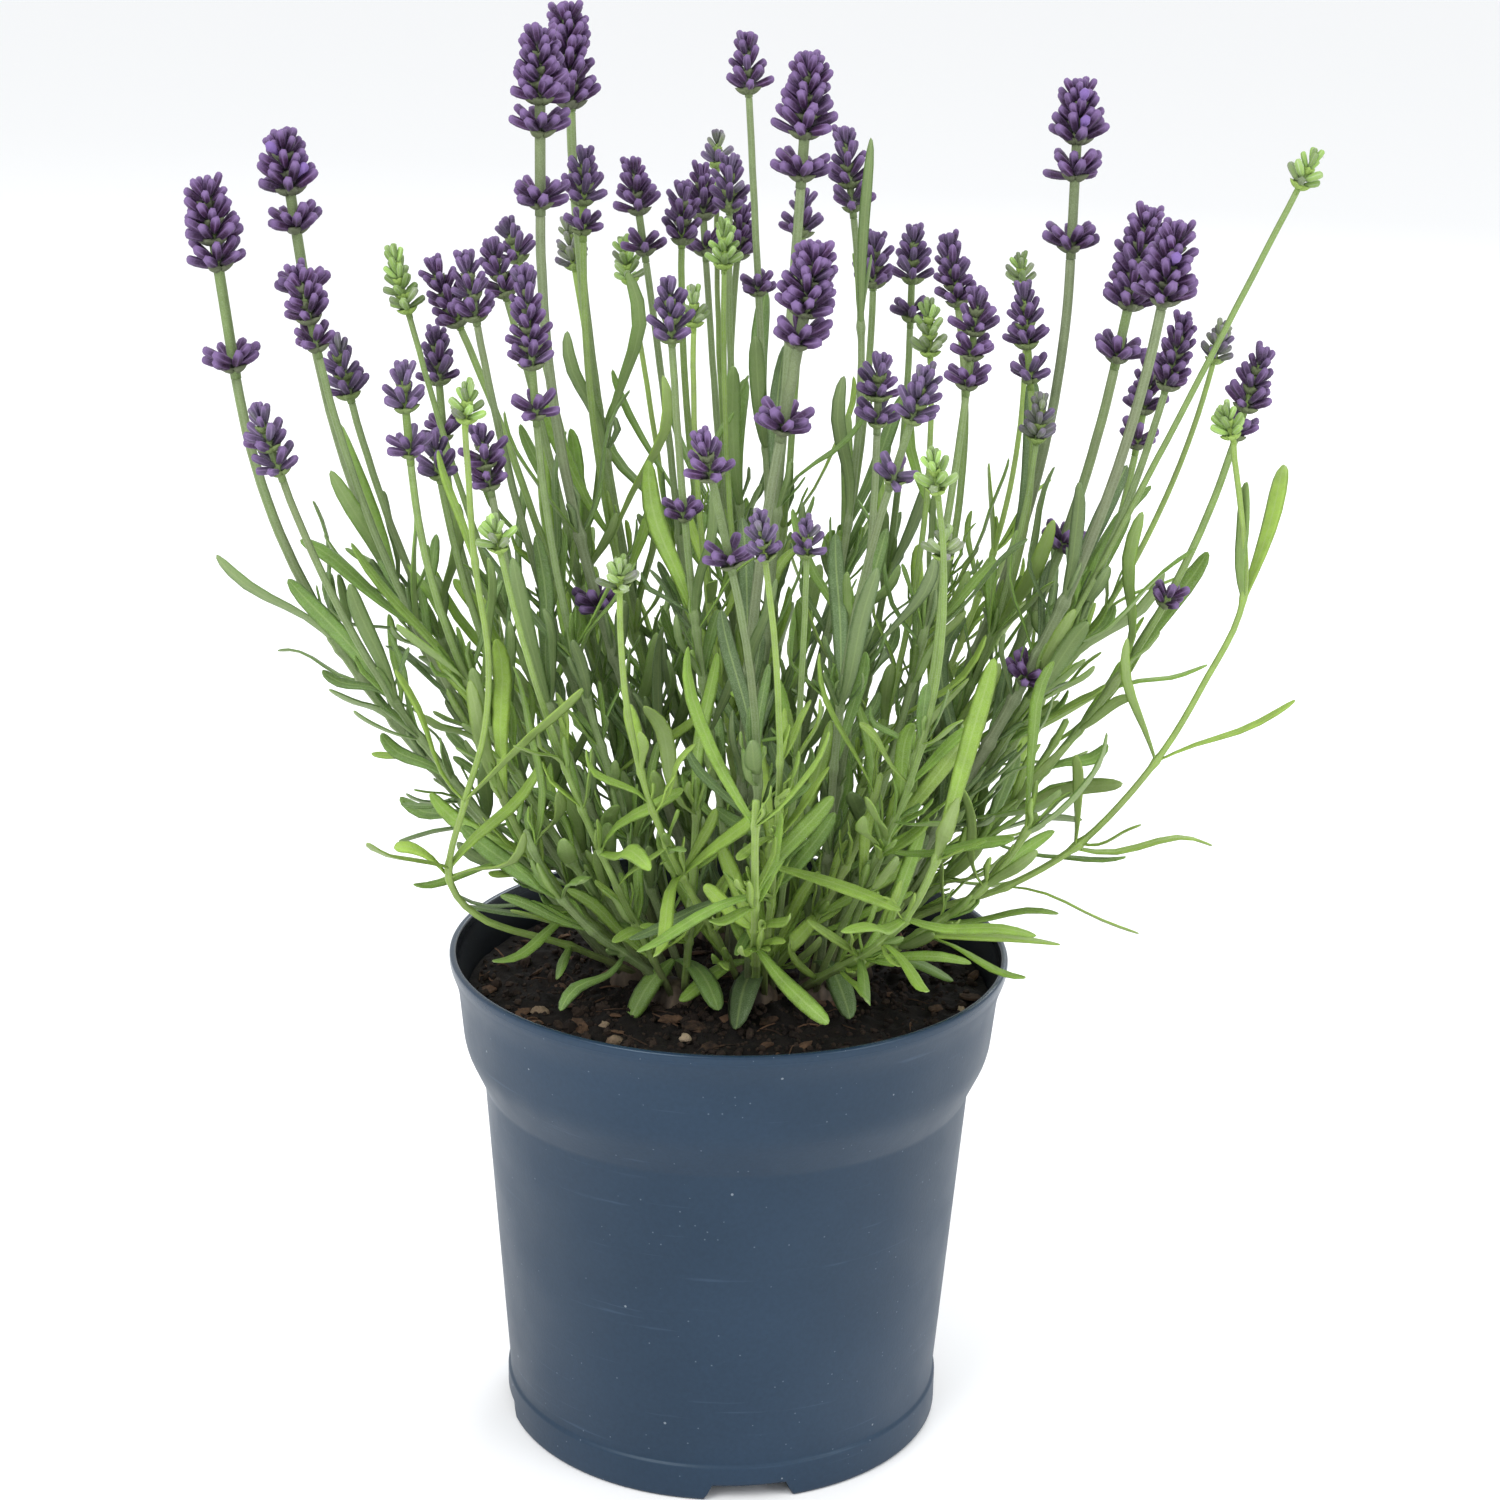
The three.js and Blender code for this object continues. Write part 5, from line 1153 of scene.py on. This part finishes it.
def make_plant(paints):
    """Every clump's stems, leaves and green heads, and every violet head."""
    heads, stems = lay_stems()
    leaves = lay_leaves(stems)
    for leaf in leaves:
        if leaf["stem"] == "hanging":
            root, middle, end = leaf["points"]
            leaf["points"] = root, middle, end + unit(end - middle) * HANGING_LONGER
            leaf["width"] *= HANGING_WIDER
    rng = np.random.default_rng(PLANT_SEED)
    for stem in stems.values():
        stem["youth"] = youth_of(stem, rng)
    extra = extra_leaves(stems, rng)
    small = fork_leaves(leaves + extra, stems, rng)
    leaves += extra
    nodes_of = {name: sorted({leaf["share"] for leaf in leaves if leaf["stem"] == name}) for name in stems}
    for clump in CLUMPS:
        own = [stem for stem in stems.values() if stem["clump"] == clump]
        make_stems(clump, own, nodes_of, paints["stem"])
        make_leaves(clump, *([leaf for leaf in group if leaf["clump"] == clump] for group in (leaves, small)),
                    stems, paints["leaf"], rng)
    marks = ["along", "rib", "ripe", "tone", "kind"]
    green = {clump: Heap(marks) for clump in CLUMPS}
    for head in heads:
        heap = green[head["clump"]] if head["green"] else Heap(marks)
        grow_head(heap, head, stems[head["label"]]["youth"], rng)
        for share, angle in SHOWING.get(head["label"], []):
            showing_flower(heap, head, share, angle)
        if not head["green"]:
            heap.piece(f"spike_{head['label']}", paints["bud"], "bud", f"flower_spike_{head['label']}")
    for name, spot in FAR_WHORLS:
        stem = stems[name]
        node = {"size": stem["size"], "direction": stem["curve"].along(spot), "base": stem["curve"].at(spot)}
        row = (0.6, stem["radius"], BUD_TILT_LOW, 0.9, -1)
        grow_whorl(green[stem["clump"]], node, row, rng.uniform(0, math.pi), 0.9, rng)
    for clump, heap in green.items():
        if heap.count:
            heap.piece(f"young_heads_{clump}", paints["bud"], "leaf", f"clump_{clump}")


# Materials.


class Paint:
    """The node tree of a material or of a node group, put together node by node."""

    def __init__(self, tree):
        self.tree = tree

    def node(self, kind, inputs=None, **settings):
        made = self.tree.nodes.new(kind)
        for name, value in settings.items():
            setattr(made, name, value)
        for name, value in (inputs or {}).items():
            self.feed(made.inputs[name], value)
        return made

    def feed(self, socket, value):
        if isinstance(value, bpy.types.NodeSocket):
            self.tree.links.new(value, socket)
        else:
            socket.default_value = value

    def mark(self, name):
        return self.node("ShaderNodeAttribute", attribute_name=name).outputs["Fac"]

    def math(self, operation, a, b=0.0, limit=False):
        made = self.node("ShaderNodeMath", operation=operation, use_clamp=limit)
        self.feed(made.inputs[0], a)
        self.feed(made.inputs[1], b)
        return made.outputs[0]

    def times(self, a, b):
        return self.math("MULTIPLY", a, b)

    def equals(self, value, wanted):
        made = self.node("ShaderNodeMath", operation="COMPARE")
        for socket, given in zip(made.inputs, (value, wanted, 0.4)):
            self.feed(socket, given)
        return made.outputs[0]

    def mix(self, share, a, b, blend="MIX"):
        made = self.node("ShaderNodeMix", data_type="RGBA", blend_type=blend)
        for index, value in ((0, share), (6, a), (7, b)):
            self.feed(made.inputs[index], (*value, 1) if isinstance(value, tuple) else value)
        return made.outputs[2]

    def shaded(self, colour, shade):
        return self.mix(1.0, colour, shade, "MULTIPLY")

    def ramp(self, value, *stops):
        """Colours or greys along a value: stops of (value, colour) or (value, grey)."""
        made = self.node("ShaderNodeValToRGB", {"Fac": value})
        band = made.color_ramp
        while len(band.elements) < len(stops):
            band.elements.new(0.5)
        for element, (spot, colour) in zip(band.elements, stops):
            element.position = spot
            element.color = (*colour, 1) if isinstance(colour, tuple) else (colour, colour, colour, 1)
        return made.outputs["Color"]

    def coordinates(self, stretch=(1, 1, 1)):
        spot = self.node("ShaderNodeTexCoord").outputs["Object"]
        return self.node("ShaderNodeMapping", {"Vector": spot, "Scale": stretch}).outputs["Vector"]

    def noise(self, scale, detail=3, stretch=(1, 1, 1)):
        """Noise over the piece's own coordinates; scale is its number of lumps in a metre."""
        inputs = {"Vector": self.coordinates(stretch), "Scale": scale, "Detail": detail}
        return self.node("ShaderNodeTexNoise", inputs).outputs["Fac"]

    def bump(self, height, strength, distance):
        inputs = {"Height": height, "Strength": strength, "Distance": distance}
        return self.node("ShaderNodeBump", inputs).outputs["Normal"]

    def group(self, tree, **inputs):
        made = self.node("ShaderNodeGroup", node_tree=tree)
        for name, value in inputs.items():
            self.feed(made.inputs[name], value)
        return made.outputs


def material(name, **settings):
    """A new material, its paint, and its shader with the constant settings."""
    made = bpy.data.materials.new(name)
    made.use_nodes = True
    paint = Paint(made.node_tree)
    shader = made.node_tree.nodes["Principled BSDF"]
    for key, value in settings.items():
        shader.inputs[key.replace("_", " ")].default_value = value
    return made, paint, shader


def coated(paint, shader, colour, grain, strength, distance):
    """Gives a shader its colour, and the bump of its grain."""
    paint.feed(shader.inputs["Base Color"], colour)
    paint.feed(shader.inputs["Normal"], paint.bump(grain, strength, distance))


def node_group(name, inputs, outputs):
    """A node group with named inputs (name to default) and outputs (name to socket kind)."""
    tree = bpy.data.node_groups.new(name, "ShaderNodeTree")
    for key, value in inputs.items():
        socket = tree.interface.new_socket(key, in_out="INPUT", socket_type="NodeSocketFloat")
        socket.default_value = value
    for key, kind in outputs.items():
        tree.interface.new_socket(key, in_out="OUTPUT", socket_type=kind)
    paint = Paint(tree)
    return tree, paint, paint.node("NodeGroupInput").outputs, paint.node("NodeGroupOutput").inputs


def green_group():
    """Living green: from dark grey-green to yellow-green by youth, with its own shade by tone."""
    tree, paint, given, put = node_group(
        "living_green", {"Youth": 0.5, "Tone": 0.5, "Felt": 0.5, "Grey": 0.0}, {"Colour": "NodeSocketColor"})
    colour = paint.ramp(given["Youth"], (0.0, (0.09, 0.155, 0.046)), (0.35, (0.13, 0.24, 0.034)),
                        (0.65, (0.175, 0.31, 0.027)), (1.0, (0.24, 0.375, 0.042)))
    colour = paint.mix(given["Grey"], colour, (0.17, 0.2, 0.1))
    shade = paint.ramp(given["Tone"], (0.0, 0.76), (1.0, 1.12))
    colour = paint.shaded(colour, shade)
    cloud = paint.ramp(paint.noise(260, 2), (0.35, 0.9), (0.65, 1.1))
    colour = paint.shaded(colour, cloud)
    grain = paint.times(paint.ramp(paint.noise(3800, 2), (0.4, 0.0), (0.7, 1.0)), given["Felt"])
    paint.feed(put["Colour"], paint.mix(paint.times(grain, 0.35), colour, (0.42, 0.5, 0.36)))
    return tree


def speck_group():
    """Scattered specks: a dot in some cells of a net of cells."""
    tree, paint, given, put = node_group(
        "specks", {"Scale": 300.0, "Size": 0.08, "Rarity": 0.6}, {"Mask": "NodeSocketFloat"})
    cells = paint.node("ShaderNodeTexVoronoi", {"Vector": paint.coordinates(), "Scale": given["Scale"]})
    near = paint.math("LESS_THAN", cells.outputs["Distance"], given["Size"])
    chosen = paint.math("GREATER_THAN", cells.outputs["Color"], given["Rarity"])
    paint.feed(put["Mask"], paint.times(near, chosen))
    return tree


def pot_paint(specks):
    """Blue moulded plastic: soft clouds, fine pale specks, a few scuffs, painted shade with peat dirt on the
    inside wall, and smoother at the rim.
    """
    made, paint, shader = material("blue_pot_plastic", Specular_IOR_Level=0.36, Coat_Weight=0.05,
                                   Specular_Tint=(0.72, 0.9, 1, 1), Coat_Tint=(0.72, 0.9, 1, 1),
                                   Coat_Roughness=0.2)
    colour = paint.ramp(paint.noise(16, 3), (0.35, (0.011, 0.025, 0.05)), (0.65, (0.015, 0.032, 0.062)))
    fine = paint.ramp(paint.noise(900, 3), (0.3, 0.93), (0.7, 1.07))
    colour = paint.shaded(colour, fine)
    scuffs = paint.ramp(paint.noise(30, 4, (1, 1, 26)), (0.66, 0.0), (0.74, 0.35))
    colour = paint.mix(scuffs, colour, (0.045, 0.075, 0.125))
    # Painted shade: the inside wall is darkened to near black-brown in noisy patches, for the shade inside
    # the pot together with peat dirt on it.
    inner_shade_and_dirt = paint.ramp(paint.noise(70, 4), (0.3, 0.7), (0.7, 0.92))
    colour = paint.mix(paint.times(inner_shade_and_dirt, paint.mark("inside")), colour, (0.011, 0.009, 0.008))
    dots = paint.group(specks, Scale=420.0, Size=0.09, Rarity=0.62)["Mask"]
    colour = paint.mix(paint.times(dots, 0.25), colour, (0.25, 0.31, 0.38))
    dust = paint.times(paint.group(specks, Scale=150.0, Size=0.05, Rarity=0.7)["Mask"], 0.4)
    coated(paint, shader, paint.mix(dust, colour, (0.4, 0.45, 0.5)), paint.noise(1400, 2), 0.12, 0.0002)
    height = paint.node("ShaderNodeSeparateXYZ", {"Vector": paint.coordinates()}).outputs["Z"]
    rim = paint.math("MULTIPLY", paint.math("SUBTRACT", height, 0.121, True), 500, True)
    matt = paint.ramp(paint.noise(60, 3), (0.3, 0.4), (0.7, 0.5))
    paint.feed(shader.inputs["Roughness"], paint.mix(rim, matt, (0.27, 0.27, 0.27)))
    return made


def earth_paint(name, low, high, scale, **settings):
    """Earthy matter: two colours by noise and by tone, rough and finely pitted."""
    made, paint, shader = material(name, Roughness=0.93, Specular_IOR_Level=0.28, **settings)
    share = paint.math("ADD", paint.times(paint.noise(scale, 5), 0.9), paint.times(paint.mark("tone"), 0.6))
    colour = paint.ramp(share, (0.35, low), (0.95, high))
    coated(paint, shader, colour, paint.noise(scale * 4, 4), 0.6, 0.0006)
    return made


# How grey a stem is at no youth, and how much of that full youth takes away.
STEM_GREY, STEM_GREY_LOSS = 0.7, 0.55


def stem_green(paint, green, youth):
    grey = paint.math("SUBTRACT", STEM_GREY, paint.times(youth, STEM_GREY_LOSS))
    return paint.group(green, Youth=youth, Tone=0.75, Felt=0.7, Grey=grey)["Colour"]


def stem_paint(green):
    """Stems: striped green, woody at the foot; below nought youth means bark alone."""
    made, paint, shader = material("green_stems", Roughness=0.62, Specular_IOR_Level=0.35)
    youth, around, height = paint.mark("youth"), paint.mark("around"), paint.mark("height")
    colour = stem_green(paint, green, youth)
    lines = paint.ramp(around, (0.0, 1.0), (0.3, 0.0), (0.75, 0.0), (1.0, 0.6))
    colour = paint.mix(paint.times(lines, 0.4), colour, (0.34, 0.4, 0.25))
    blush = paint.times(paint.ramp(paint.noise(90, 2, (1, 1, 0.3)), (0.5, 0.0), (0.7, 1.0)), 0.2)
    colour = paint.mix(blush, colour, (0.17, 0.13, 0.12))
    grain = paint.noise(420, 4, (1, 1, 0.25))
    bark = paint.ramp(grain, (0.35, (0.035, 0.025, 0.018)), (0.7, (0.15, 0.11, 0.075)))
    foot = paint.math("MULTIPLY", paint.math("SUBTRACT", 0.13, height), 9, True)
    foot = paint.math("MAXIMUM", paint.times(foot, 0.55), paint.math("LESS_THAN", youth, -0.01))
    coated(paint, shader, paint.mix(foot, colour, bark), paint.noise(1500, 3, (1, 1, 0.15)), 0.35, 0.0002)
    return made


def leaf_paint(green):
    """Leaves: living green with a paler midrib, a greyer felted underside and faint side veins."""
    made, paint, shader = material("lavender_leaves", Roughness=0.55, Specular_IOR_Level=0.4,
                                   Subsurface_Weight=0.12, Subsurface_Radius=(0.0006, 0.001, 0.0003))
    youth, tone, along = paint.mark("youth"), paint.mark("tone"), paint.mark("along")
    across = paint.math("ABSOLUTE", paint.mark("across"))
    colour = paint.group(green, Youth=youth, Tone=tone, Felt=0.6)["Colour"]
    colour = paint.mix(paint.ramp(across, (0.0, 0.5), (0.16, 0.0)), colour, (0.32, 0.43, 0.15))
    colour = paint.mix(paint.times(paint.mark("under"), 0.5), colour, (0.26, 0.33, 0.15))
    veins = paint.math("SINE", paint.math("ADD", paint.times(along, 70), paint.times(across, -7)))
    height = paint.math("ADD", paint.times(veins, 0.35), paint.noise(1800, 2))
    coated(paint, shader, colour, height, 0.3, 0.00015)
    return made


def bud_paint(green):
    """Flower heads: woolly buds from green over grey-violet to deep violet as they ripen, paler on
    their ribs; hairs, bracts, the stem inside and opening flowers each have their own colour by kind."""
    made, paint, shader = material("violet_buds", Roughness=0.66, Specular_IOR_Level=0.3)
    ripe, tone, along = paint.mark("ripe"), paint.mark("tone"), paint.mark("along")
    rib, kind = paint.mark("rib"), paint.mark("kind")
    colour = paint.ramp(ripe, (0.0, (0.25, 0.4, 0.09)), (0.3, (0.19, 0.24, 0.11)), (0.55, (0.1, 0.08, 0.135)),
                        (0.8, (0.055, 0.027, 0.076)), (1.0, (0.039, 0.013, 0.046)))
    lit = paint.ramp(ripe, (0.0, (0.42, 0.54, 0.3)), (0.6, (0.28, 0.21, 0.36)), (1.0, (0.22, 0.125, 0.3)))
    edge = paint.times(paint.math("POWER", rib, 4), 0.72)
    colour = paint.mix(paint.times(edge, paint.ramp(along, (0.1, 0.35), (0.6, 1.0))), colour, lit)
    shade = paint.ramp(tone, (0.0, 0.62), (1.0, 1.5))
    colour = paint.shaded(colour, shade)
    base = paint.ramp(along, (0.05, 0.55), (0.32, 0.0))
    colour = paint.mix(base, colour, (0.13, 0.17, 0.09))
    tip = paint.times(paint.ramp(along, (0.66, 0.0), (0.95, 0.9)), ripe)
    colour = paint.mix(tip, colour, (0.2, 0.123, 0.29))
    wool = paint.times(paint.ramp(paint.noise(3000, 3), (0.5, 0.0), (0.75, 1.0)), 0.25)
    colour = paint.mix(wool, colour, (0.27, 0.23, 0.36))
    hair = paint.ramp(ripe, (0.0, (0.5, 0.58, 0.38)), (0.6, (0.33, 0.28, 0.4)), (1.0, (0.22, 0.15, 0.3)))
    colour = paint.mix(paint.equals(kind, HAIR), colour, hair)
    colour = paint.mix(paint.equals(kind, STALK), colour, stem_green(paint, green, ripe))
    bract = paint.ramp(ripe, (0.0, (0.3, 0.44, 0.1)), (0.6, (0.19, 0.27, 0.08)), (1.0, (0.12, 0.13, 0.085)))
    colour = paint.mix(paint.equals(kind, BRACT), colour, bract)
    flower = paint.ramp(along, (0.0, (0.1, 0.05, 0.19)), (0.6, (0.24, 0.15, 0.41)), (1.0, (0.2, 0.12, 0.36)))
    colour = paint.mix(paint.equals(kind, FLOWER), colour, flower)
    coated(paint, shader, colour, paint.noise(3200, 2), 0.5, 0.0002)
    return made


living_green, specks = green_group(), speck_group()
make_pot(pot_paint(specks))
make_peat(
    earth_paint("damp_peat", (0.004, 0.003, 0.0025), (0.02, 0.0135, 0.01), 300),
    earth_paint("peat_crumbs", (0.005, 0.0035, 0.003), (0.032, 0.021, 0.015), 200),
    earth_paint("bark_and_fibres", (0.01, 0.0065, 0.005), (0.12, 0.068, 0.04), 350),
    earth_paint("small_stones", (0.16, 0.11, 0.07), (0.4, 0.31, 0.21), 500),
)
paints = {"stem": stem_paint, "leaf": leaf_paint, "bud": bud_paint}
make_plant({name: make(living_green) for name, make in paints.items()})


# The studio: a pale floor, soft light from large lamps, and the camera at the photograph's angle.

FLOOR_HALF, FLOOR_COLOUR = 30, (0.94, 0.94, 0.94, 1)
AIR_COLOUR, AIR_STRENGTH = (0.97, 0.985, 1.0, 1), 1.0
MIDDLE_OF_PLANT = (0, 0, 0.2)
# Lamps: name, place, size and power.
LAMPS = [
    ("key_light", (-0.9, -1.1, 1.5), 1.1, 20),
    ("fill_light", (1.3, -0.8, 0.9), 1.0, 8),
    ("back_light", (0.5, 1.3, 1.3), 1.0, 12),
]
CAMERA_AT = (0.0, -0.7012, 0.40175)
CAMERA_PITCH, CAMERA_YAW, CAMERA_ROLL = 17.80, 0.351, 1.145
LENS, SENSOR = 71.8, 36


def make_floor():
    mesh = bpy.data.meshes.new("studio_floor")
    h = FLOOR_HALF
    mesh.from_pydata([(-h, -h, 0), (h, -h, 0), (h, h, 0), (-h, h, 0)], [], [(0, 1, 2, 3)])
    floor = bpy.data.objects.new("studio_floor", mesh)
    bpy.context.scene.collection.objects.link(floor)
    made, _, _ = material("pale_floor", Base_Color=FLOOR_COLOUR, Roughness=0.8)
    mesh.materials.append(made)


def make_lamp(name, at, size, power):
    """A round lamp whose -Z points at the middle of the plant."""
    lamp = bpy.data.lights.new(name, "AREA")
    lamp.shape, lamp.size, lamp.energy = "DISK", size, power
    made = bpy.data.objects.new(name, lamp)
    made.location = at
    made.rotation_euler = (Vector(MIDDLE_OF_PLANT) - Vector(at)).to_track_quat("-Z", "Y").to_euler()
    bpy.context.scene.collection.objects.link(made)


def make_world():
    world = bpy.data.worlds.new("studio_air")
    world.use_nodes = True
    background = world.node_tree.nodes["Background"]
    background.inputs["Color"].default_value = AIR_COLOUR
    background.inputs["Strength"].default_value = AIR_STRENGTH
    bpy.context.scene.world = world


def make_camera():
    """The camera looks down by its pitch, a little to the right by its yaw, and leans by its roll."""
    pitch, yaw, roll = (math.radians(a) for a in (CAMERA_PITCH, CAMERA_YAW, CAMERA_ROLL))
    forward = Vector((math.sin(yaw) * math.cos(pitch), math.cos(yaw) * math.cos(pitch), -math.sin(pitch)))
    level = Vector((math.cos(yaw), -math.sin(yaw), 0))
    rise = level.cross(forward)
    right = level * math.cos(roll) + rise * math.sin(roll)
    up = rise * math.cos(roll) - level * math.sin(roll)
    data = bpy.data.cameras.new("camera")
    data.lens, data.sensor_width, data.sensor_height, data.sensor_fit = LENS, SENSOR, SENSOR, "HORIZONTAL"
    camera = bpy.data.objects.new("camera", data)
    turn = Matrix((right, up, -forward)).transposed()
    camera.matrix_world = Matrix.Translation(CAMERA_AT) @ turn.to_4x4()
    bpy.context.scene.collection.objects.link(camera)
    bpy.context.scene.camera = camera


make_floor()
for lamp in LAMPS:
    make_lamp(*lamp)
make_world()
make_camera()
bpy.context.scene.view_settings.view_transform = "Standard"
